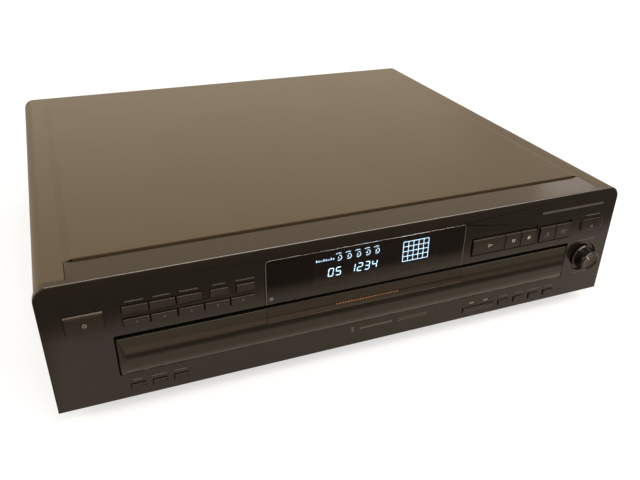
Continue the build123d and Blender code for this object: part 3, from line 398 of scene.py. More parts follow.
class Effects:
    """Node groups that several finishes share."""

    def __init__(self) -> None:
        """Build each group once."""
        self.mottle = self._mottle()
        self.dust = self._dust()
        self.scuffs = self._scuffs()
        self.grain = self._grain()

    @staticmethod
    def _group(name: str, inputs: Sequence[tuple[str, float]], outputs: Sequence[str]) \
            -> tuple[bpy.types.NodeTree, bpy.types.Node, bpy.types.Node]:
        """Start a group with float sockets.

        Args:
            name: Name of the group.
            inputs: Name and plain value of each input.
            outputs: Names of the outputs.

        Returns:
            The group, its input node and its output node.
        """
        tree = bpy.data.node_groups.new(name, "ShaderNodeTree")
        for label, value in inputs:
            socket = tree.interface.new_socket(label, in_out="INPUT", socket_type="NodeSocketFloat")
            socket.default_value = value
        for label in outputs:
            tree.interface.new_socket(label, in_out="OUTPUT", socket_type="NodeSocketFloat")
        return tree, tree.nodes.new("NodeGroupInput"), tree.nodes.new("NodeGroupOutput")

    @staticmethod
    def _noise(tree: bpy.types.NodeTree, vector: bpy.types.NodeSocket, scale: bpy.types.NodeSocket,
               detail: float) -> bpy.types.Node:
        """A noise texture on given coordinates.

        Args:
            tree: Tree to add it to.
            vector: Coordinates.
            scale: Scale socket.
            detail: Octaves.

        Returns:
            The node.
        """
        noise = tree.nodes.new("ShaderNodeTexNoise")
        noise.inputs["Detail"].default_value = detail
        tree.links.new(vector, noise.inputs["Vector"])
        tree.links.new(scale, noise.inputs["Scale"])
        return noise

    @staticmethod
    def _range(tree: bpy.types.NodeTree, value: bpy.types.NodeSocket, low: float, high: float,
               to_low: float = 0.0, to_high: float = 1.0) -> bpy.types.Node:
        """Map a value from one range to another, clamped.

        Args:
            tree: Tree to add it to.
            value: Value to map.
            low: Start of its range.
            high: End of its range.
            to_low: Start of the new range.
            to_high: End of the new range.

        Returns:
            The node.
        """
        node = tree.nodes.new("ShaderNodeMapRange")
        tree.links.new(value, node.inputs["Value"])
        for label, number in (("From Min", low), ("From Max", high), ("To Min", to_low), ("To Max", to_high)):
            node.inputs[label].default_value = number
        return node

    @staticmethod
    def _times(tree: bpy.types.NodeTree, first: bpy.types.NodeSocket, second: bpy.types.NodeSocket) \
            -> bpy.types.NodeSocket:
        """Multiply two values, and return the product's socket."""
        node = tree.nodes.new("ShaderNodeMath")
        node.operation = "MULTIPLY"
        tree.links.new(first, node.inputs[0])
        tree.links.new(second, node.inputs[1])
        return node.outputs[0]

    def _mottle(self) -> bpy.types.NodeTree:
        """Broad cloudy unevenness of a moulded or painted surface."""
        tree, given, out = self._group("cloudy_surface", [("Scale", 14.0), ("Amount", 0.3)], ["Mask"])
        place = tree.nodes.new("ShaderNodeTexCoord")
        noise = self._noise(tree, place.outputs["Object"], given.outputs["Scale"], 4)
        mask = self._range(tree, noise.outputs["Fac"], 0.35, 0.68)
        tree.links.new(self._times(tree, mask.outputs[0], given.outputs["Amount"]), out.inputs["Mask"])
        return tree

    def _dust(self) -> bpy.types.NodeTree:
        """Specks of dust on faces that look up, and a painted sheen that lightens those faces where light falls from
        above.
        """
        tree, given, out = self._group("dust_specks_and_painted_sheen", [("Scale", 900.0), ("Amount", 0.2)], ["Mask", "Top Sheen"])
        place = tree.nodes.new("ShaderNodeTexCoord")
        geometry = tree.nodes.new("ShaderNodeNewGeometry")
        split = tree.nodes.new("ShaderNodeSeparateXYZ")
        tree.links.new(geometry.outputs["Normal"], split.inputs[0])
        up = self._range(tree, split.outputs["Z"], 0.2, 0.9)
        specks = self._noise(tree, place.outputs["Object"], given.outputs["Scale"], 2)
        mask = self._range(tree, specks.outputs["Fac"], 0.63, 0.76)
        total = self._times(tree, up.outputs[0], mask.outputs[0])
        tree.links.new(self._times(tree, total, given.outputs["Amount"]), out.inputs["Mask"])
        # Painted sheen: faces that look up get a slightly uneven mask that lightens them as if lit from above.
        cloud = self._noise(tree, place.outputs["Object"], given.outputs["Scale"], 3)
        cloud.inputs["Roughness"].default_value = 0.7
        uneven = self._range(tree, cloud.outputs["Fac"], 0.2, 0.8, 0.86, 1.0)
        tree.links.new(self._times(tree, up.outputs[0], uneven.outputs[0]), out.inputs["Top Sheen"])
        return tree

    def _scuffs(self) -> bpy.types.NodeTree:
        """Sparse hairline scratches in two directions."""
        tree, given, out = self._group("hairlines", [("Scale", 6.0), ("Amount", 0.2)], ["Mask"])
        place = tree.nodes.new("ShaderNodeTexCoord")
        masks = []
        for turn in (0.5, -0.9):
            mapping = tree.nodes.new("ShaderNodeMapping")
            mapping.inputs["Rotation"].default_value = (turn, turn, turn)
            mapping.inputs["Scale"].default_value = (1.0, 60.0, 60.0)
            tree.links.new(place.outputs["Object"], mapping.inputs["Vector"])
            noise = self._noise(tree, mapping.outputs["Vector"], given.outputs["Scale"], 3)
            masks.append(self._range(tree, noise.outputs["Fac"], 0.66, 0.72).outputs[0])
        both = tree.nodes.new("ShaderNodeMath")
        both.operation = "MAXIMUM"
        tree.links.new(masks[0], both.inputs[0])
        tree.links.new(masks[1], both.inputs[1])
        tree.links.new(self._times(tree, both.outputs[0], given.outputs["Amount"]), out.inputs["Mask"])
        return tree

    def _grain(self) -> bpy.types.NodeTree:
        """Fine grain of a surface, which may be drawn out along one way."""
        tree, given, out = self._group(
            "fine_grain", [("Scale", 3000.0), ("Along X", 1.0), ("Along Y", 1.0), ("Along Z", 1.0)], ["Height"])
        place = tree.nodes.new("ShaderNodeTexCoord")
        stretch = tree.nodes.new("ShaderNodeCombineXYZ")
        for number, label in enumerate(("Along X", "Along Y", "Along Z")):
            tree.links.new(given.outputs[label], stretch.inputs[number])
        scaled = tree.nodes.new("ShaderNodeVectorMath")
        scaled.operation = "MULTIPLY"
        tree.links.new(place.outputs["Object"], scaled.inputs[0])
        tree.links.new(stretch.outputs[0], scaled.inputs[1])
        noise = self._noise(tree, scaled.outputs[0], given.outputs["Scale"], 3)
        tree.links.new(noise.outputs["Fac"], out.inputs["Height"])
        return tree


class Paints:
    """Makes the materials and keeps each one for use again."""

    def __init__(self, effects: Effects) -> None:
        """Start with no materials.

        Args:
            effects: The shared node groups.
        """
        self.effects = effects
        self.made: dict[str, bpy.types.Material] = {}

    def _place(self, tree: bpy.types.NodeTree, group: bpy.types.NodeTree, **values: float) \
            -> bpy.types.NodeSocket:
        """Place a shared group in a material.

        Args:
            tree: The material's tree.
            group: The shared group.
            values: Values of its inputs, with _ for a space.

        Returns:
            Its first output.
        """
        node = tree.nodes.new("ShaderNodeGroup")
        node.node_tree = group
        for label, value in values.items():
            node.inputs[label.replace("_", " ")].default_value = value
        return node.outputs[0]

    @staticmethod
    def _mix(tree: bpy.types.NodeTree, mask: bpy.types.NodeSocket, first: object, second: object) \
            -> bpy.types.NodeSocket:
        """Mix two colours, each a colour or a socket, by a mask.

        Args:
            tree: The material's tree.
            mask: Share of the second colour.
            first: First colour.
            second: Second colour.

        Returns:
            The mixed colour's socket.
        """
        node = tree.nodes.new("ShaderNodeMix")
        node.data_type = "RGBA"
        tree.links.new(mask, node.inputs["Factor"])
        for label, value in (("A", first), ("B", second)):
            socket = [s for s in node.inputs if s.name == label and s.type == "RGBA"][0]
            if isinstance(value, bpy.types.NodeSocket):
                tree.links.new(value, socket)
            else:
                socket.default_value = (*value, 1.0)
        return [s for s in node.outputs if s.type == "RGBA"][0]

    def get(self, finish: Finish) -> bpy.types.Material:
        """The material of a finish.

        Args:
            finish: The finish.

        Returns:
            The material, made on first use.
        """
        if finish.name in self.made:
            return self.made[finish.name]
        material = bpy.data.materials.new(finish.name)
        material.use_nodes = True
        tree = material.node_tree
        shader = tree.nodes["Principled BSDF"]
        shader.inputs["Metallic"].default_value = finish.metal
        shader.inputs["Specular IOR Level"].default_value = finish.specular
        shader.inputs["Specular Tint"].default_value = (*finish.tint, 1.0)
        shader.inputs["Coat Weight"].default_value = finish.coat
        shader.inputs["Coat Roughness"].default_value = 0.08
        cloud = self._place(tree, self.effects.mottle, Scale=14.0, Amount=finish.mottle)
        colour = self._mix(tree, cloud, finish.colour, finish.second)
        wear_and_highlight = cloud
        if finish.scuffs:
            lines = self._place(tree, self.effects.scuffs, Scale=6.0, Amount=finish.scuffs)
            colour = self._mix(tree, lines, colour, tuple(min(1.0, 2.2 * c + 0.02) for c in finish.colour))
            wear_and_highlight = Effects._range(tree, lines, 0.0, 1.0).outputs[0]
        if finish.dust:
            dust = self._place(tree, self.effects.dust, Scale=900.0, Amount=finish.dust)
            # Painted light: faces that look up are lightened towards the film colour, for the sheen that falls on
            # them.
            if finish.film:
                colour = self._mix(tree, dust.node.outputs["Top Sheen"], colour, finish.film)
            colour = self._mix(tree, dust, colour, (0.42, 0.38, 0.33))
        tree.links.new(colour, shader.inputs["Base Color"])
        rough = Effects._range(tree, cloud if not finish.scuffs else wear_and_highlight, 0.0, max(finish.mottle, 0.05),
                               *finish.rough)
        tree.links.new(rough.outputs[0], shader.inputs["Roughness"])
        height = self._place(tree, self.effects.grain, Scale=finish.grain, Along_X=finish.stretch[0],
                             Along_Y=finish.stretch[1], Along_Z=finish.stretch[2])
        bump = tree.nodes.new("ShaderNodeBump")
        bump.inputs["Strength"].default_value = 0.35
        bump.inputs["Distance"].default_value = finish.depth * MM
        tree.links.new(height, bump.inputs["Height"])
        tree.links.new(bump.outputs[0], shader.inputs["Normal"])
        self.made[finish.name] = material
        return material

    def clear_plate(self, name: str, tint: Colour) -> bpy.types.Material:
        """A tinted see-through plastic with a polished face.

        Args:
            name: Name of the material.
            tint: Colour that it passes.

        Returns:
            The material.
        """
        if name in self.made:
            return self.made[name]
        material = bpy.data.materials.new(name)
        material.use_nodes = True
        tree = material.node_tree
        shader = tree.nodes["Principled BSDF"]
        shader.inputs["Transmission Weight"].default_value = 1.0
        shader.inputs["IOR"].default_value = 1.49
        shader.inputs["Specular Tint"].default_value = (1.0, 0.86, 0.72, 1.0)
        cloud = self._place(tree, self.effects.mottle, Scale=30.0, Amount=0.4)
        tree.links.new(self._mix(tree, cloud, tint, tuple(0.86 * c for c in tint)), shader.inputs["Base Color"])
        lines = self._place(tree, self.effects.scuffs, Scale=9.0, Amount=1.0)
        rough = Effects._range(tree, lines, 0.0, 1.0, 0.03, 0.16)
        tree.links.new(rough.outputs[0], shader.inputs["Roughness"])
        self.made[name] = material
        return material

    def glow(self, name: str, colour: Colour, strength: float) -> bpy.types.Material:
        """A lit phosphor, a little uneven.

        Args:
            name: Name of the material.
            colour: Colour of the light.
            strength: Its strength.

        Returns:
            The material.
        """
        if name in self.made:
            return self.made[name]
        material = bpy.data.materials.new(name)
        material.use_nodes = True
        tree = material.node_tree
        shader = tree.nodes["Principled BSDF"]
        shader.inputs["Base Color"].default_value = (0.25, 0.3, 0.3, 1)
        shader.inputs["Roughness"].default_value = 0.7
        shader.inputs["Emission Strength"].default_value = strength
        cloud = self._place(tree, self.effects.mottle, Scale=160.0, Amount=0.5)
        tree.links.new(self._mix(tree, cloud, colour, tuple(0.8 * c for c in colour)),
                       shader.inputs["Emission Color"])
        self.made[name] = material
        return material


COVER = Finish("cover_paint", (0.060, 0.042, 0.024), (0.070, 0.050, 0.029), rough=(0.40, 0.48), grain=2600.0,
               depth=0.05, mottle=0.5, dust=0.08, specular=0.46, scuffs=0.10, tint=(1.0, 0.82, 0.60))
# PANEL's film colour is painted light: it lightens faces that look up, such as the top flange, to the tone of the lit
# cover.
PANEL = Finish("panel_plastic", (0.0065, 0.0052, 0.0044), (0.0085, 0.007, 0.006), rough=(0.15, 0.22), grain=3600.0,
               depth=0.003, mottle=0.4, dust=0.05, specular=0.5, scuffs=0.05, tint=(1.0, 0.86, 0.74),
               film=(0.026, 0.016, 0.007))
DRAWER = Finish("drawer_plastic", (0.007, 0.006, 0.005), (0.010, 0.0085, 0.007), rough=(0.13, 0.20), grain=3600.0,
                depth=0.003, mottle=0.4, dust=0.03, specular=0.5, scuffs=0.05, tint=(1.0, 0.86, 0.72))
KEY = Finish("key_plastic", (0.008, 0.0065, 0.0055), (0.011, 0.0092, 0.0078), rough=(0.18, 0.26), grain=3600.0,
             depth=0.004, mottle=0.4, dust=0.05, specular=0.42, tint=(1.0, 0.84, 0.70))
STRIP = Finish("strip_plastic", (0.005, 0.0045, 0.004), (0.007, 0.006, 0.0055), rough=(0.06, 0.12), grain=3600.0,
               depth=0.002, mottle=0.3, specular=0.5, scuffs=0.05, tint=(1.0, 0.84, 0.68))
KNOB = Finish("knob_plastic", (0.006, 0.005, 0.0045), (0.009, 0.0075, 0.0065), rough=(0.09, 0.15), grain=3600.0,
              depth=0.002, mottle=0.4, dust=0.03, specular=0.5, tint=(1.0, 0.82, 0.66))
ZINC = Finish("zinc_steel", (0.50, 0.49, 0.45), (0.36, 0.35, 0.32), rough=(0.3, 0.45), metal=1.0, grain=900.0,
              depth=0.01, mottle=0.7, stretch=(0.25, 1.0, 1.0), scuffs=0.15)
REAR = Finish("rear_paint", (0.022, 0.021, 0.020), (0.034, 0.032, 0.030), rough=(0.45, 0.6), grain=1600.0,
              depth=0.05, mottle=0.4, specular=0.4)
DECK = Finish("deck_plastic", (0.030, 0.030, 0.031), (0.045, 0.044, 0.043), rough=(0.5, 0.65), grain=1400.0,
              depth=0.04, mottle=0.4, dust=0.15)
TRAY = Finish("tray_plastic", (0.026, 0.025, 0.024), (0.040, 0.038, 0.035), rough=(0.42, 0.58), grain=1500.0,
              depth=0.05, mottle=0.4, dust=0.10)
TABLE = Finish("table_plastic", (0.040, 0.039, 0.038), (0.058, 0.056, 0.053), rough=(0.38, 0.52), grain=1700.0,
               depth=0.04, mottle=0.4, dust=0.08, scuffs=0.05)
GEAR = Finish("gear_plastic", (0.74, 0.71, 0.62), (0.64, 0.60, 0.50), rough=(0.38, 0.5), grain=1500.0,
              depth=0.02, mottle=0.5)
BOARD = Finish("circuit_board", (0.022, 0.085, 0.030), (0.050, 0.130, 0.045), rough=(0.28, 0.4), grain=700.0,
               depth=0.03, mottle=0.9, specular=0.5)
CAN = Finish("motor_can", (0.60, 0.60, 0.59), (0.48, 0.48, 0.46), rough=(0.24, 0.36), metal=1.0, grain=1200.0,
             depth=0.01, mottle=0.6, stretch=(1.0, 1.0, 0.15))
ROD = Finish("rod_steel", (0.78, 0.78, 0.77), (0.66, 0.66, 0.65), rough=(0.08, 0.18), metal=1.0, grain=1500.0,
             depth=0.004, mottle=0.4)
BELT = Finish("belt_rubber", (0.012, 0.012, 0.012), (0.022, 0.022, 0.021), rough=(0.6, 0.75), grain=2500.0,
              depth=0.04, mottle=0.5)
FOOT = Finish("foot_plastic", (0.014, 0.014, 0.014), (0.024, 0.023, 0.022), rough=(0.4, 0.55), grain=1600.0,
              depth=0.05, mottle=0.4)
PAD = Finish("pad_rubber", (0.030, 0.030, 0.030), (0.046, 0.045, 0.043), rough=(0.7, 0.85), grain=1100.0,
             depth=0.10, mottle=0.5)
TUBE = Finish("tube_glass", (0.008, 0.011, 0.012), (0.012, 0.016, 0.018), rough=(0.05, 0.1), grain=900.0,
              depth=0.002, mottle=0.4)
CORE = Finish("core_iron", (0.10, 0.085, 0.07), (0.16, 0.12, 0.085), rough=(0.4, 0.55), metal=0.6, grain=1400.0,
              depth=0.12, mottle=0.7, stretch=(0.04, 0.04, 1.0))
PICKUP = Finish("pickup_metal", (0.42, 0.42, 0.43), (0.30, 0.30, 0.31), rough=(0.38, 0.5), metal=1.0, grain=1300.0,
                depth=0.04, mottle=0.6)
BRASS = Finish("jack_gold", (0.86, 0.60, 0.22), (0.74, 0.50, 0.17), rough=(0.16, 0.28), metal=1.0, grain=1600.0,
               depth=0.006, mottle=0.5)
SOCKET = Finish("socket_plastic", (0.016, 0.016, 0.016), (0.026, 0.025, 0.024), rough=(0.38, 0.5), grain=1700.0,
                depth=0.03, mottle=0.4)
SCREW = Finish("screw_steel", (0.045, 0.042, 0.04), (0.10, 0.095, 0.09), rough=(0.3, 0.42), metal=0.8, grain=1500.0,
               depth=0.01, mottle=0.6)
INK = Finish("pale_ink", (0.42, 0.39, 0.33), (0.35, 0.32, 0.27), rough=(0.5, 0.6), grain=2500.0, depth=0.004,
             mottle=0.6)
DIM_INK = Finish("dim_ink", (0.150, 0.135, 0.110), (0.120, 0.108, 0.088), rough=(0.5, 0.6), grain=2500.0, depth=0.004,
                 mottle=0.6)
WARM_INK = Finish("warm_ink", (0.62, 0.30, 0.11), (0.52, 0.25, 0.09), rough=(0.5, 0.6), grain=2500.0, depth=0.004,
                  mottle=0.6)
# A pale colour for print, and for painted highlights on edges where they would catch the light.
PRINT_AND_HIGHLIGHT = Finish("pale_print_and_highlight", (0.13, 0.125, 0.11), (0.10, 0.095, 0.085), rough=(0.2, 0.3), grain=2500.0,
                  depth=0.002, mottle=0.4)


class Workshop:
    """Dresses pieces: gives each its finish and its body."""

    def __init__(self, paints: Paints) -> None:
        """Keep the paints.

        Args:
            paints: Maker of materials.
        """
        self.paints = paints
        self.body_of = {node: body for body, members in frame["record"]["behaviour"]["bodies"].items()
                        for node in members}
        self.slot_of = {part["node"]: part["material_slot"] for part in frame["record"]["subparts"]}

    def dress(self, piece: bpy.types.Object, material: bpy.types.Material, node: str) -> bpy.types.Object:
        """Give a piece its material, and let it move with a node's body.

        Args:
            piece: The piece.
            material: Its material.
            node: Node whose body it takes.

        Returns:
            The same piece.
        """
        piece.data.materials.clear()
        piece.data.materials.append(material)
        for polygon in piece.data.polygons:
            polygon.material_index = 0
        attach(piece, self.body_of[node])
        LOG.info("%s rides on %s", piece.name, self.body_of[node])
        return piece

    def paint(self, node: str, finish: Finish) -> None:
        """Give a construction node a finish and leave its shape.

        Args:
            node: The node.
            finish: Its finish.
        """
        piece = frame["nodes"][node]
        piece.data.materials.clear()
        piece.data.materials.append(self.paints.get(finish))
        for polygon in piece.data.polygons:
            polygon.material_index = 0
        LOG.info("%s painted %s", node, finish.name)

    def refine(self, node: str, finish: Finish, width: float = 0.3, segments: int = 2,
               smooth: float = 35.0) -> bpy.types.Object:
        """Stand a merged copy with rounded edges in a node's place.

        Args:
            node: The node.
            finish: Its finish.
            width: Width of the rounded edges, in millimetres.
            segments: Facets across them.
            smooth: Edges flatter than this shade as one surface, in degrees.

        Returns:
            The new piece.
        """
        piece = Bench.copy_node(node)
        Bench.soften(piece, width, segments, smooth=smooth)
        return self.dress(piece, self.paints.get(finish), node)


# ------------------------------------------------------------------------------- front
@dataclass
class PressKey:
    """A sprung key with a sloping cap.

    Attributes:
        node: The construction node that it stands for.
        left: Left side of the cap.
        width: Width of the cap.
        low: Lower edge, from the panel's underside.
        height: Height of the cap.
        reach: How far its upper edge stands out.
        toe: How far its lower edge stands out.
    """

    node: str
    left: float
    width: float
    low: float
    height: float
    reach: float = 1.2
    toe: float = 0.9
    flange: float = 1.0
    back: float = -185.7

    @property
    def middle(self) -> tuple[float, float]:
        """Centre of the cap seen from the front."""
        return self.left + self.width / 2, BASE_Z + self.low + self.height / 2

    @property
    def tilt(self) -> float:
        """Lean of the cap's face, in radians."""
        return math.atan2(self.reach - self.toe, 0.82 * self.height)

    def face_depth(self, z: float) -> float:
        """Depth of the cap's face at a height.

        Args:
            z: Height in the frame, in millimetres.

        Returns:
            The face's y there.
        """
        return FACE_Y - self.toe - (z - BASE_Z - self.low) * math.tan(self.tilt)

    def build(self, shop: Workshop, rocking: bool = False) -> bpy.types.Object:
        """Model the cap: a block with its face sloped, its brow turned in and its edges rounded.

        Args:
            shop: Dresses the piece.
            rocking: Whether its flange is only in its middle.

        Returns:
            The key.
        """
        low, high = BASE_Z + self.low, BASE_Z + self.low + self.height
        right = self.left + self.width
        front, root = FACE_Y - self.reach, self.back - self.flange
        brow = 0.18 * self.height
        cap = Bench.block(f"{self.node}_cap", (self.left, front, low), (right, root, high))
        Bench.pick(cap, edges=lambda a, b: a.y < (front + 0.01) * MM and b.y < (front + 0.01) * MM
                   and a.z > (high - 0.01) * MM and b.z > (high - 0.01) * MM)
        bpy.ops.mesh.bevel(offset=brow * MM, segments=3, profile=0.5)
        Bench.done()
        Bench.pick(cap, points=lambda p: p.z < (low + 0.01) * MM and p.y < (front + 0.01) * MM)
        bpy.ops.transform.translate(value=(0, (self.reach - self.toe) * MM, 0))
        Bench.done()
        # The flange behind the panel is drawn out from the cap's root.
        Bench.pick(cap, faces=lambda c, n: n.y > 0.9)
        bpy.ops.mesh.extrude_region_move(TRANSFORM_OT_translate={"value": (0, 0.02 * MM, 0)})
        middle = ((self.left + right) / 2 * MM, root * MM, (low + high) / 2 * MM)
        share = 8.0 / self.width if rocking else 1.0
        grow = (self.height + 2 * self.flange) / self.height
        if share < 1:
            bpy.ops.mesh.extrude_region_move(TRANSFORM_OT_translate={"value": (0, self.flange * MM, 0)})
        else:
            bpy.ops.transform.resize(value=(share, 1, grow), center_override=middle)
            bpy.ops.mesh.extrude_region_move(TRANSFORM_OT_translate={"value": (0, self.flange * MM, 0)})
        Bench.done()
        # A shallow finger dish in the face.
        Bench.pick(cap, faces=lambda c, n: n.y < -0.95 and c.y < (FACE_Y + 0.01) * MM)
        rim = min(0.16 * self.height, 1.1)
        bpy.ops.mesh.inset(thickness=rim * MM)
        bpy.ops.mesh.inset(thickness=0.5 * rim * MM, depth=-0.07 * MM)
        Bench.done()
        Bench.soften(cap, 0.16, 3, 30)
        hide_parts(self.node)
        return shop.dress(cap, shop.paints.get(KEY), self.node)


@dataclass
class FrontKeys:
    """All the keys of the front, and the generic marks on them.

    Attributes:
        small_width: Width of the small keys.
        small_height: Height of the small keys.
        gap: Gap between neighbours.
    """

    small_width: float = 9.0
    small_height: float = 4.6
    gap: float = 1.0
    keys: dict[str, PressKey] = field(default_factory=dict)

    def _row(self, names: Iterable[str], left: float, width: float, gap: float, low: float, height: float) -> None:
        """Add a row of like keys.

        Args:
            names: Their nodes, from the left.
            left: Left side of the first.
            width: Width of each.
            gap: Gap between neighbours.
            low: Lower edge, from the panel's underside.
            height: Height of each.
        """
        for number, name in enumerate(names):
            self.keys[name] = PressKey(name, left + number * (width + gap), width, low, height)

    def build(self, shop: Workshop) -> None:
        """Model every key.

        Args:
            shop: Dresses the pieces.
        """
        self._row(["power_key"], -201.2, 23.0, 1.0, 58.5, 13.0)
        self._row([f"disc_key_{n}" for n in range(1, 6)], -167.3, 16.0, self.gap, 56.6, 5.6)
        self._row([f"mode_key_{n}" for n in range(1, 4)], -167.3, 15.8, self.gap, 66.0, 5.6)
        self._row(["mode_key_4"], -112.5, 11.9, self.gap, 66.0, 5.6)
        self._row(["mode_key_5"], -95.2, 11.9, self.gap, 66.0, 5.6)
        self._row(["play_key"], 83.8, 27.9, self.gap, 57.3, 12.5)
        self._row(["pause_key", "stop_key"], 112.4, 13.6, 0.7, 57.3, 12.5)
        self._row(["exchange_key", "skip_key"], 144.1, 14.2, 0.7, 57.3, 12.5)
        for n in range(3):
            self._row([f"small_key_{n + 1}"], -168.5 + n * 13.95, self.small_width, self.gap, 6.2, self.small_height)
        for n in range(4):
            self._row([f"small_key_{n + 4}"], 115.8 + n * 14.45, self.small_width, self.gap, 5.1, self.small_height)
        for key in self.keys.values():
            key.build(shop)
        rocker = PressKey("search_rocker", 83.2, 27.3, 5.1, self.small_height)
        self.keys["search_rocker"] = rocker
        shop.refine("search_rocker", KEY, 0.22, 3)
        shop.refine("open_close_key", KEY, 0.3, 3)
        self._marks(shop)

    def _mark(self, shop: Workshop, name: str, node: str, outlines: Sequence[Sequence[tuple[float, float]]],
              x: float, z: float, depth: float, tilt: float = 0.0, ink: Finish = INK) -> None:
        """Print one mark of several flat outlines.

        Args:
            shop: Dresses the piece.
            name: Name of the mark.
            node: Node that it is printed on.
            outlines: Outlines about the mark's centre.
            x: Centre.
            z: Height of the centre.
            depth: Depth of the surface there.
            tilt: Lean of the surface.
            ink: Its colour.
        """
        plates = [Bench.plate(f"{name}_{number}", outline, upright(x, depth + 0.01, z, tilt), 0.03)
                  for number, outline in enumerate(outlines)]
        mark = Bench.join(name, plates)
        shop.dress(mark, shop.paints.get(ink), node)

    def _dashes(self, shop: Workshop, name: str, node: str, x: float, z: float, length: float, height: float,
                depth: float, ink: Finish = DIM_INK, tilt: float = 0.0) -> None:
        """Print a row of plain dashes where a caption would stand.

        Args:
            shop: Dresses the piece.
            name: Name of the row.
            node: Node that it is printed on.
            x: Centre.
            z: Height of the centre.
            length: Length of the row.
            height: Height of a dash.
            depth: Depth of the surface there.
            ink: Its colour.
            tilt: Lean of the surface.
        """
        dash, gap = 0.45 * height, 0.50 * height
        count = max(2, round((length + gap) / (dash + gap)))
        pitch = (length + gap) / count
        outlines = []
        for number in range(count):
            left = number * pitch - length / 2
            outlines.append([(left, -height / 2), (left + pitch - gap, -height / 2), (left + pitch - gap, height / 2),
                             (left, height / 2)])
        self._mark(shop, name, node, outlines, x, z, depth, tilt, ink)

    def _marks(self, shop: Workshop) -> None:
        """Print the generic marks: numerals on the disc keys, and plain transport symbols.

        Args:
            shop: Dresses the pieces.
        """
        for number in range(1, 6):
            key = self.keys[f"disc_key_{number}"]
            x, z = key.middle
            place = upright(x, key.face_depth(z) + 0.01, z - 0.3, key.tilt)
            numeral = Bench.numeral(f"disc_number_{number}", str(number), 1.9, place)
            shop.dress(numeral, shop.paints.get(DIM_INK), key.node)
        bar = [(-0.45, -1.3), (0.45, -1.3), (0.45, 1.3), (-0.45, 1.3)]
        square = [(-1.2, -1.2), (1.2, -1.2), (1.2, 1.2), (-1.2, 1.2)]
        arrow = [(-1.9, -1.6), (2.2, 0.0), (-1.9, 1.6)]

        def frame_of(points: Sequence[tuple[float, float]], share: float) -> list[list[tuple[float, float]]]:
            """The strips of an outline drawn as a line.

            Args:
                points: Corners of the outline.
                share: Size of the inner outline against the outer one.

            Returns:
                One strip for each side.
            """
            cx = sum(p[0] for p in points) / len(points)
            cy = sum(p[1] for p in points) / len(points)
            inner = [(cx + (x - cx) * share, cy + (y - cy) * share) for x, y in points]
            count = len(points)
            return [[points[n], points[(n + 1) % count], inner[(n + 1) % count], inner[n]] for n in range(count)]

        def shifted(points: Sequence[tuple[float, float]], dx: float, scale: float = 1.0) \
                -> list[tuple[float, float]]:
            """Points moved sideways and scaled."""
            return [(x * scale + dx, y * scale) for x, y in points]

        def on_key(name: str, node: str, outlines: Sequence[Sequence[tuple[float, float]]], x: float,
                   z: float, ink: Finish = INK) -> None:
            """Print a mark on a key's face."""
            key = self.keys[node]
            self._mark(shop, name, node, outlines, x, z, key.face_depth(z), key.tilt, ink)

        on_key("play_mark", "play_key", frame_of(arrow, 0.62), 99.0, 76.5)
        on_key("pause_mark", "pause_key", [shifted(bar, -0.8), shifted(bar, 0.8)], 119.6, 76.5)
        on_key("stop_mark", "stop_key", [square], 133.7, 76.5)
        on_key("exchange_mark", "exchange_key", frame_of(shifted(square, 0.0, 0.9), 0.6) + [
            [(-2.4, -2.3), (2.4, -2.3), (2.4, -1.9), (-2.4, -1.9)]], 151.2, 76.7, DIM_INK)
        small_arrow = shifted(arrow, -0.9, 0.5)
        on_key("skip_mark", "skip_key", [small_arrow, shifted(arrow, 1.0, 0.5),
                                         [(2.1, -0.8), (2.4, -0.8), (2.4, 0.8), (2.1, 0.8)],
                                         [(-2.0, -2.3), (2.2, -2.3), (2.2, -1.9), (-2.0, -1.9)]], 166.1, 76.7, DIM_INK)
        eject = [[(-1.3, -0.1), (1.3, -0.1), (0.0, 1.4)], [(-1.3, -0.9), (1.3, -0.9), (1.3, -0.45),
                 (-1.3, -0.45)]]
        self._mark(shop, "open_mark", "open_close_key", eject, 193.9, 75.8, FACE_Y - 1.2, 0.0, DIM_INK)
        # Standby symbol on the power key: a broken ring and a stroke.
        ring = []
        for step in range(20):
            a0, a1 = (math.radians(120 + step * 15), math.radians(120 + (step + 1) * 15))
            ring.append([(1.3 * math.cos(a0), 1.3 * math.sin(a0)), (1.3 * math.cos(a1), 1.3 * math.sin(a1)),
                         (1.0 * math.cos(a1), 1.0 * math.sin(a1)), (1.0 * math.cos(a0), 1.0 * math.sin(a0))])
        stroke = [(-0.16, 0.2), (0.16, 0.2), (0.16, 1.6), (-0.16, 1.6)]
        on_key("power_mark", "power_key", ring + [stroke], -189.7, 76.3)
        # Search arrows above the rocker, on the panel.
        left_arrow = [(-x, y) for x, y in reversed(arrow)]
        for name, x, shape in (("search_back_mark", 90.2, left_arrow), ("search_on_mark", 103.6, arrow)):
            self._mark(shop, name, "front_panel", [shifted(shape, -0.95, 0.45), shifted(shape, 0.95, 0.45)],
                       x, 26.3, FACE_Y)
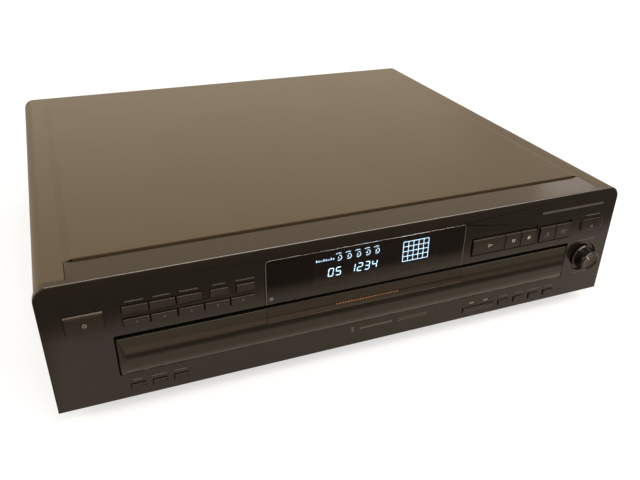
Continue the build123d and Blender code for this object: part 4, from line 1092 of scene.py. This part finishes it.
        # Rows of plain dashes where the panel carries its small captions.
        captions = [(-164.0, 26.8, 5.5), (-150.0, 26.8, 9.5), (-136.1, 26.8, 8.0), (120.3, 26.0, 7.0),
                    (134.8, 26.0, 7.0), (149.2, 26.0, 11.5), (163.7, 26.0, 7.5), (-159.4, 87.3, 11.0),
                    (-142.6, 87.3, 10.0), (-125.8, 87.3, 11.5), (-106.5, 87.3, 8.0), (-89.3, 87.3, 12.0),
                    (193.7, 85.6, 14.0), (192.6, 63.6, 17.0), (192.6, 33.2, 13.0)]
        for number, (x, z, length) in enumerate(captions):
            self._dashes(shop, f"caption_{number + 1}", "front_panel", x, z, length, 0.9, FACE_Y)
        self._dashes(shop, "caption_model", "front_panel", 172.5, 94.6, 57.0, 1.9, FACE_Y)
        self._dashes(shop, "caption_low_1", "front_panel", 8.0, 26.6, 26.0, 1.7, FACE_Y)
        self._dashes(shop, "caption_low_2", "front_panel", 38.5, 27.4, 25.0, 0.7, FACE_Y)
        self._dashes(shop, "caption_low_3", "front_panel", 38.5, 25.6, 25.0, 0.7, FACE_Y)
        five = Bench.numeral("panel_number", "5", 4.2, upright(-11.0, FACE_Y - 0.01, 26.6))
        shop.dress(five, shop.paints.get(DIM_INK), "front_panel")
        self._dashes(shop, "caption_strip", "drawer_window_strip", -2.0, 54.6, 48.0, 2.3, FACE_Y - 3.1, WARM_INK, 0.42)


@dataclass
class JogDial:
    """The jog dial: a ribbed skirt, a dished face and a pointer line.

    Attributes:
        x: Centre.
        z: Height of the centre.
        radius: Radius of the skirt.
        face_radius: Radius of the face; not used.
        reach: How far the dial stands out of the panel; not used.
        ribs: Number of ribs round the skirt.
    """

    x: float = 192.6
    z: float = 47.8
    radius: float = 10.0
    face_radius: float = 8.2
    reach: float = 10.0
    ribs: int = 60

    def build(self, shop: Workshop) -> None:
        """Turn the dial, rib its skirt and lay in its pointer.

        Args:
            shop: Dresses the pieces.
        """
        profile = [(3.0, -5.1), (3.0, -1.2), (9.6, -1.2), (self.radius, -0.9), (self.radius, 0.5),
                   (9.6, 1.1), (9.25, 1.5), (8.7, 5.0), (8.35, 8.6), (8.05, 9.4), (7.5, 9.9), (6.9, 10.0),
                   (6.3, 9.75), (4.5, 9.45), (2.0, 9.25), (0.4, 9.2)]
        turn = Matrix.Rotation(math.pi / 2, 4, "X")
        dial = Bench.lathe("jog_dial_knob", (self.x, FACE_Y, self.z), profile, turn, 2 * self.ribs)
        low, high = (FACE_Y - 8.5) * MM, (FACE_Y - 1.6) * MM
        centre = Vector((self.x * MM, 0, self.z * MM))

        def groove(p: Vector) -> bool:
            """Whether a point is every other one round the skirt."""
            if not low < p.y < high:
                return False
            angle = math.atan2(p.z - centre.z, p.x - centre.x)
            return round(angle / (math.pi / self.ribs)) % 2 == 0

        Bench.pick(dial, points=groove)
        bpy.ops.transform.resize(value=(0.965, 1, 0.965), center_override=(centre.x, FACE_Y * MM, centre.z))
        Bench.done()
        Bench.take(dial)
        bpy.ops.object.shade_smooth_by_angle(angle=math.radians(28))
        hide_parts("jog_dial")
        shop.dress(dial, shop.paints.get(KNOB), "jog_dial")
        line = Bench.plate("dial_pointer", [(-0.45, 3.4), (0.45, 3.4), (0.45, 7.9), (-0.45, 7.9)],
                           upright(self.x, FACE_Y - 9.3, self.z, 0, math.radians(42)), 0.69)
        shop.dress(line, shop.paints.get(INK), "jog_dial")


@dataclass
class Display:
    """The window and the lit display behind it.

    Attributes:
        tube_face: Depth of the tube's front.
        numeral_low: Lower edge of the large numerals.
        numeral_height: Their height.
        grid_left: Left side of the grid.
        grid_low: Lower edge of the grid.
        cell: Pitch of the grid's cells, across and up.
    """

    tube_face: float = -187.0
    numeral_low: float = 75.2
    numeral_height: float = 6.0
    grid_left: float = 26.7
    grid_low: float = 75.4
    cell: tuple[float, float] = (4.06, 3.95)

    def _lit(self, name: str, outlines: Sequence[Sequence[tuple[float, float]]], shop: Workshop,
             strength: float = 15.0) -> None:
        """Add lit shapes on the tube.

        Args:
            name: Name of the shapes.
            outlines: Outlines in the frame's X and Z, in millimetres.
            shop: Dresses the piece.
            strength: Strength of the light.
        """
        plates = [Bench.plate(f"{name}_{number}", outline, upright(0, self.tube_face - 0.05, 0), 0.04)
                  for number, outline in enumerate(outlines)]
        piece = Bench.join(name, plates)
        shop.dress(piece, shop.paints.glow("lit_phosphor", (0.62, 0.86, 1.0), strength), "display_tube")

    @staticmethod
    def _bar(a: tuple[float, float], b: tuple[float, float], width: float, trim: float = 0.0) \
            -> list[tuple[float, float]]:
        """A straight bar with pointed ends between two points.

        Args:
            a: First end.
            b: Second end.
            width: Width of the bar.
            trim: How far each end is cut short.

        Returns:
            Its outline.
        """
        dx, dy = b[0] - a[0], b[1] - a[1]
        length = math.hypot(dx, dy)
        ux, uy = dx / length, dy / length
        h = width / 2
        x0, y0 = a[0] + ux * trim, a[1] + uy * trim
        x1, y1 = b[0] - ux * trim, b[1] - uy * trim
        return [(x0, y0), (x0 + ux * h + uy * h, y0 + uy * h - ux * h),
                (x1 - ux * h + uy * h, y1 - uy * h - ux * h), (x1, y1),
                (x1 - ux * h - uy * h, y1 - uy * h + ux * h), (x0 + ux * h - uy * h, y0 + uy * h + ux * h)]

    def build(self, shop: Workshop) -> None:
        """Model the window, the tube and everything lit.

        Args:
            shop: Dresses the pieces.
        """
        window = Bench.copy_node("display_window")
        Bench.soften(window, 0.08, 2)
        shop.dress(window, shop.paints.clear_plate("window_acrylic", (0.17, 0.175, 0.19)), "display_window")
        shop.refine("display_tube", TUBE, 0.6, 3)
        # Large numerals, leaning a little.
        lean = 0.13
        outlines = []
        x = -30.5
        for sign in "05 1234":
            if sign == " ":
                x += 5.0
                continue
            for bar in NUMERALS[sign]:
                (ax, ay), (bx, by) = bar.value
                scale_x, scale_y = 3.4, self.numeral_height / 2
                a = (x + ax * scale_x + lean * ay * scale_y, self.numeral_low + ay * scale_y)
                b = (x + bx * scale_x + lean * by * scale_y, self.numeral_low + by * scale_y)
                outlines.append(self._bar(a, b, 0.5, 0.2))
            x += 5.6
        self._lit("numerals", outlines, shop)
        # Grid of track places: bright outlines round dark cells.
        outlines = []
        columns, rows = 5, 4
        wide, tall = self.cell
        right, top = self.grid_left + columns * wide, self.grid_low + rows * tall
        for column in range(columns + 1):
            x = self.grid_left + column * wide
            outlines.append([(x - 0.16, self.grid_low), (x + 0.16, self.grid_low), (x + 0.16, top), (x - 0.16, top)])
        for row in range(rows + 1):
            z = self.grid_low + row * tall
            outlines.append([(self.grid_left, z - 0.16), (right, z - 0.16), (right, z + 0.16), (self.grid_left, z + 0.16)])
        self._lit("track_grid", outlines, shop)
        # Five numerals, each with an open ring to its right and a short arc above, and small bars to their left.
        outlines = []
        for number in range(5):
            cx, cz = -22.6 + number * 7.1, 88.6
            for step in range(10):
                a0, a1 = math.radians(step * 21 - 120), math.radians((step + 1) * 21 - 120)
                outlines.append([(cx + 2.2 * math.cos(a0), cz + 2.2 * math.sin(a0)),
                                 (cx + 2.2 * math.cos(a1), cz + 2.2 * math.sin(a1)),
                                 (cx + 1.85 * math.cos(a1), cz + 1.85 * math.sin(a1)),
                                 (cx + 1.85 * math.cos(a0), cz + 1.85 * math.sin(a0))])
            for step in range(3):
                a0, a1 = math.radians(65 + step * 20), math.radians(65 + (step + 1) * 20)
                outlines.append([(cx + 4.1 * math.cos(a0), cz + 3.9 * math.sin(a0)),
                                 (cx + 4.1 * math.cos(a1), cz + 3.9 * math.sin(a1)),
                                 (cx + 3.8 * math.cos(a1), cz + 3.6 * math.sin(a1)),
                                 (cx + 3.8 * math.cos(a0), cz + 3.6 * math.sin(a0))])
        self._lit("disc_rings", outlines, shop)
        for number in range(5):
            numeral = Bench.numeral(f"disc_numeral_{number + 1}", str(number + 1), 1.9,
                                    upright(-23.0 + number * 7.1, self.tube_face - 0.07, 88.6))
            shop.dress(numeral, shop.paints.glow("lit_phosphor", (0.62, 0.86, 1.0), 15.0), "display_tube")
        outlines = []
        for number in range(8):
            x, high = -39.2 + number * 1.75, 89.6 - 0.45 * (number % 3)
            outlines.append([(x, 87.9), (x + 0.55, 87.9), (x + 0.55, high), (x, high)])
        self._lit("side_bars", outlines, shop)
        # Pale square printed over the sensor at the window's lower left corner.
        square = [(-1.3, -1.3), (1.3, -1.3), (1.3, 1.3), (-1.3, 1.3)]
        sensor = Bench.plate("sensor_square", square, upright(-72.0, FACE_Y - 0.59, 68.1), 0.03)
        shop.dress(sensor, shop.paints.get(PRINT_AND_HIGHLIGHT), "display_window")
        self._edge(shop)

    def _edge(self, shop: Workshop) -> None:
        """Lay painted highlights, pale strips along the acrylic's cut edge on its left and right, where the edge
        catches the light.

        Args:
            shop: Dresses the pieces.
        """
        half, low, high, corner, wide = 75.65, 63.9, 97.35, 2.2, 0.34
        for name, side, sweep in (("window_edge_left", -1, 90), ("window_edge_right", 1, 40)):
            x = side * half
            inner = x - side * wide
            outlines = [[(x, low), (inner, low), (inner, high - corner), (x, high - corner)]]
            if side > 0:
                outlines[0].reverse()
            cx, cz = side * (half - corner), high - corner
            steps = sweep // 10
            for step in range(steps):
                a0, a1 = math.radians(step * 10), math.radians((step + 1) * 10)
                outlines.append([(cx + side * corner * math.cos(a0), cz + corner * math.sin(a0)),
                                 (cx + side * corner * math.cos(a1), cz + corner * math.sin(a1)),
                                 (cx + side * (corner - wide) * math.cos(a1), cz + (corner - wide) * math.sin(a1)),
                                 (cx + side * (corner - wide) * math.cos(a0), cz + (corner - wide) * math.sin(a0))])
            plates = [Bench.plate(f"{name}_{number}", outline, upright(0, FACE_Y - 0.58, 0), 0.03)
                      for number, outline in enumerate(outlines)]
            shop.dress(Bench.join(name, plates), shop.paints.get(PRINT_AND_HIGHLIGHT), "display_window")


@dataclass
class FrontPanel:
    """The panel moulding, the drawer front and its glossy strip."""

    edge: float = 0.18
    top_z: float = 107.0
    worn_half: float = 207.0

    def build(self, shop: Workshop) -> None:
        """Round the panel's edges, dress the drawer front, and lay a painted highlight along the panel's upper front
        edge.

        Args:
            shop: Dresses the pieces.
        """
        shop.refine("front_panel", PANEL, self.edge, 2, 14)
        shop.refine("drawer_front", DRAWER, 0.3, 3)
        shop.refine("drawer_window_strip", STRIP, 0.12, 2)
        # Painted highlight: a pale flat strip 0.5 mm wide, leaning at 45° along the upper front edge, stands for the
        # light that this edge catches.
        wear_and_highlight = Bench.plate("panel_edge_highlight", [(-self.worn_half, -0.25), (self.worn_half, -0.25),
                                               (self.worn_half, 0.25), (-self.worn_half, 0.25)],
                           upright(0, FACE_Y + 0.28, self.top_z - 0.28, -math.pi / 4), 0.03)
        shop.dress(wear_and_highlight, shop.paints.get(PRINT_AND_HIGHLIGHT), "front_panel")


@dataclass
class Case:
    """The cover, the chassis, the rear and the feet."""

    def build(self, shop: Workshop) -> None:
        """Dress the case.

        Args:
            shop: Dresses the pieces.
        """
        shop.refine("top_cover", COVER, 0.5, 5, 14)
        shop.refine("chassis", ZINC, 0.2, 1)
        shop.refine("rear_panel", REAR, 0.2, 1)
        shop.refine("feet", FOOT, 0.6, 3)
        shop.refine("foot_pads", PAD, 0.5, 2)
        shop.refine("case_screws", SCREW, 0.2, 2)
        shop.refine("audio_jacks", BRASS, 0.2, 2)
        shop.refine("optical_output", SOCKET, 0.2, 2)
        shop.refine("cord_gland", SOCKET, 0.3, 2)


@dataclass
class Mechanism:
    """The drawer's tray and carousel, the drive unit, the clamp and the boards."""

    def build(self, shop: Workshop) -> None:
        """Dress the mechanism.

        Args:
            shop: Dresses the pieces.
        """
        shop.refine("drawer_tray", TRAY, 0.25, 1)
        shop.refine("carousel_table", TABLE, 0.25, 1)
        shop.refine("mechanism_deck", DECK, 0.25, 1)
        shop.refine("drive_frame", DECK, 0.25, 1)
        shop.refine("clamp_bridge", ZINC, 0.2, 1)
        shop.refine("clamp_puck", GEAR, 0.3, 2)
        shop.refine("spindle_turntable", GEAR, 0.2, 2)
        shop.refine("optical_pickup", PICKUP, 0.3, 2)
        for node, finish in (("table_drive_gear", GEAR), ("loading_pinion", GEAR), ("motor_pulley", GEAR),
                             ("loading_belt", BELT), ("loading_motor", CAN), ("table_motor", CAN),
                             ("spindle_motor", CAN), ("feed_motor", CAN), ("guide_rods", ROD),
                             ("power_transformer", CORE), ("main_board", BOARD), ("front_circuit_board", BOARD)):
            shop.paint(node, finish)


# ------------------------------------------------------------------------------- studio
@dataclass
class Studio:
    """The floor, the light and the camera.

    Attributes:
        eye: Place of the camera, in millimetres.
        right: The camera's right.
        up: The camera's up.
        back: The camera's back, away from what it sees.
        focal: Focal length, in pixels of a 640 wide frame.
        middle: Where the camera's axis meets the frame, in pixels.
    """

    eye: Point = (-180.46, -545.55, 315.93)
    right: Point = (0.92652, -0.37580, 0.01836)
    up: Point = (0.17279, 0.46834, 0.86649)
    back: Point = (-0.33423, -0.79964, 0.49886)
    focal: float = 666.14
    middle: tuple[float, float] = (327.80, 254.46)

    def _camera(self) -> None:
        """Set the camera where the photograph was taken from."""
        data = bpy.data.cameras.new("camera")
        data.sensor_fit = "HORIZONTAL"
        data.sensor_width = 36.0
        data.lens = self.focal * 36.0 / 640.0
        data.shift_x = (320.0 - self.middle[0]) / 640.0
        data.shift_y = (self.middle[1] - 240.0) / 640.0
        data.clip_start = 0.02
        data.clip_end = 20.0
        camera = bpy.data.objects.new("camera", data)
        bpy.context.scene.collection.objects.link(camera)
        turn = Matrix((self.right, self.up, self.back)).transposed().to_4x4()
        camera.matrix_world = Matrix.Translation([c * MM for c in self.eye]) @ turn
        bpy.context.scene.camera = camera

    @staticmethod
    def _softbox(name: str, place: Point, aim: Point, size: tuple[float, float], watts: float,
                 colour: Colour) -> None:
        """Hang one soft lamp.

        Args:
            name: Name of the lamp.
            place: Where it hangs, in metres.
            aim: What it lights.
            size: Width and height.
            watts: Its power.
            colour: Its colour.
        """
        data = bpy.data.lights.new(name, "AREA")
        data.shape = "RECTANGLE"
        data.size, data.size_y = size
        data.energy = watts
        data.color = colour
        lamp = bpy.data.objects.new(name, data)
        bpy.context.scene.collection.objects.link(lamp)
        way = Vector(aim) - Vector(place)
        lamp.matrix_world = Matrix.Translation(place) @ way.to_track_quat("-Z", "Y").to_matrix().to_4x4()

    @staticmethod
    def _world() -> None:
        """White where the camera sees it, a warm pale tone where gloss and glass see it, and a plain soft light
        elsewhere.
        """
        world = bpy.data.worlds.new("studio")
        bpy.context.scene.world = world
        world.use_nodes = True
        tree = world.node_tree
        tree.nodes.clear()
        path = tree.nodes.new("ShaderNodeLightPath")
        seen = tree.nodes.new("ShaderNodeBackground")
        seen.inputs["Color"].default_value = (1, 1, 1, 1)
        seen.inputs["Strength"].default_value = 1.0
        gloss = tree.nodes.new("ShaderNodeBackground")
        gloss.inputs["Color"].default_value = (1.0, 0.86, 0.67, 1)
        gloss.inputs["Strength"].default_value = 0.85
        soft = tree.nodes.new("ShaderNodeBackground")
        soft.inputs["Color"].default_value = (1.0, 0.97, 0.93, 1)
        soft.inputs["Strength"].default_value = 0.55
        either = tree.nodes.new("ShaderNodeMath")
        either.operation = "MAXIMUM"
        tree.links.new(path.outputs["Is Glossy Ray"], either.inputs[0])
        tree.links.new(path.outputs["Is Transmission Ray"], either.inputs[1])
        inner = tree.nodes.new("ShaderNodeMixShader")
        tree.links.new(either.outputs[0], inner.inputs[0])
        tree.links.new(soft.outputs[0], inner.inputs[1])
        tree.links.new(gloss.outputs[0], inner.inputs[2])
        outer = tree.nodes.new("ShaderNodeMixShader")
        tree.links.new(path.outputs["Is Camera Ray"], outer.inputs[0])
        tree.links.new(inner.outputs[0], outer.inputs[1])
        tree.links.new(seen.outputs[0], outer.inputs[2])
        out = tree.nodes.new("ShaderNodeOutputWorld")
        tree.links.new(outer.outputs[0], out.inputs["Surface"])

    @staticmethod
    def _floor() -> None:
        """Lay a floor that the camera sees plain and pale and that keeps the player's shadow; every other ray sees a
        painted reflection, pale near the player and dimmer further out.
        """
        Bench.clear()
        bpy.ops.mesh.primitive_plane_add(size=12, location=(0, 0, 0))
        floor = bpy.context.object
        floor.name = "floor"
        material = bpy.data.materials.new("floor_white")
        material.use_nodes = True
        tree = material.node_tree
        tree.nodes.clear()
        path = tree.nodes.new("ShaderNodeLightPath")
        place = tree.nodes.new("ShaderNodeTexCoord")
        split = tree.nodes.new("ShaderNodeSeparateXYZ")
        tree.links.new(place.outputs["Object"], split.inputs[0])
        # Painted reflection: for every ray but the camera's, the pale top ends a hand's width in front of the player,
        # and what lies further out is dimmer, so glossy faces reflect a darker floor there.
        near = Effects._range(tree, split.outputs["Y"], -0.308, -0.286)
        beside = tree.nodes.new("ShaderNodeMath")
        beside.operation = "MAXIMUM"
        for number, (axis, low, high) in enumerate((("X", -0.24, -0.212), ("Y", -0.2, -0.18))):
            tree.links.new(Effects._range(tree, split.outputs[axis], low, high).outputs[0], beside.inputs[number])
        far = Effects._range(tree, split.outputs["Y"], -0.43, -0.37, 1.0, 0.0)
        left = Effects._range(tree, split.outputs["X"], 0.1, 0.5, 1.0, 0.35)
        painted_far_floor = tree.nodes.new("ShaderNodeMix")
        painted_far_floor.data_type = "RGBA"
        tree.links.new(Effects._times(tree, far.outputs[0], left.outputs[0]), painted_far_floor.inputs["Factor"])
        painted_far_floor.inputs[6].default_value = (0.20, 0.175, 0.15, 1)
        painted_far_floor.inputs[7].default_value = (0.92, 0.76, 0.60, 1)
        shade = tree.nodes.new("ShaderNodeMix")
        shade.data_type = "RGBA"
        tree.links.new(Effects._times(tree, near.outputs[0], beside.outputs[0]), shade.inputs["Factor"])
        tree.links.new(painted_far_floor.outputs[2], shade.inputs[6])
        shade.inputs[7].default_value = (0.86, 0.80, 0.72, 1)
        # Painted reflection: every ray but the camera's sees the floor in these painted colours.
        pale = tree.nodes.new("ShaderNodeBsdfDiffuse")
        tree.links.new(shade.outputs[2], pale.inputs["Color"])
        white = tree.nodes.new("ShaderNodeBsdfDiffuse")
        white.inputs["Color"].default_value = (0.5, 0.5, 0.5, 1)
        lift = tree.nodes.new("ShaderNodeEmission")
        lift.inputs["Color"].default_value = (1, 1, 1, 1)
        reach = tree.nodes.new("ShaderNodeVectorMath")
        reach.operation = "LENGTH"
        tree.links.new(place.outputs["Object"], reach.inputs[0])
        tree.links.new(Effects._range(tree, reach.outputs["Value"], 0.6, 1.6, 0.62, 1.0).outputs[0],
                       lift.inputs["Strength"])
        seen = tree.nodes.new("ShaderNodeAddShader")
        tree.links.new(white.outputs[0], seen.inputs[0])
        tree.links.new(lift.outputs[0], seen.inputs[1])
        either = tree.nodes.new("ShaderNodeMixShader")
        tree.links.new(path.outputs["Is Camera Ray"], either.inputs[0])
        tree.links.new(pale.outputs[0], either.inputs[1])
        tree.links.new(seen.outputs[0], either.inputs[2])
        out = tree.nodes.new("ShaderNodeOutputMaterial")
        tree.links.new(either.outputs[0], out.inputs["Surface"])
        floor.data.materials.append(material)

    def build(self) -> None:
        """Set up the camera, the light and the floor."""
        bpy.context.scene.view_settings.view_transform = "Standard"
        self._camera()
        self._world()
        self._floor()
        self._softbox("key_lamp", (0.45, -1.0, 1.4), (0, -0.1, 0.05), (2.0, 0.5), 20, (1.0, 0.95, 0.88))
        self._softbox("left_lamp", (-1.5, -0.1, 1.0), (0, 0, 0.05), (0.8, 0.8), 9, (1.0, 0.93, 0.84))
        self._softbox("back_lamp", (0.3, 1.6, 0.55), (0, 0, 0.1), (1.8, 0.5), 2.3, (1.0, 0.84, 0.63))
        self._softbox("corner_lamp", (1.24, 0.93, 0.73), (0.21, -0.19, 0.107), (0.16, 0.10), 0.06, (1.0, 0.90, 0.92))


def main() -> None:
    """Build every class in order."""
    logging.basicConfig(level=logging.INFO, format="%(message)s")
    studio = Studio()
    studio.build()
    shop = Workshop(Paints(Effects()))
    for assembly in (FrontPanel(), FrontKeys(), JogDial(), Display(), Case(), Mechanism()):
        assembly.build(shop)


if __name__ == "__main__":
    main()
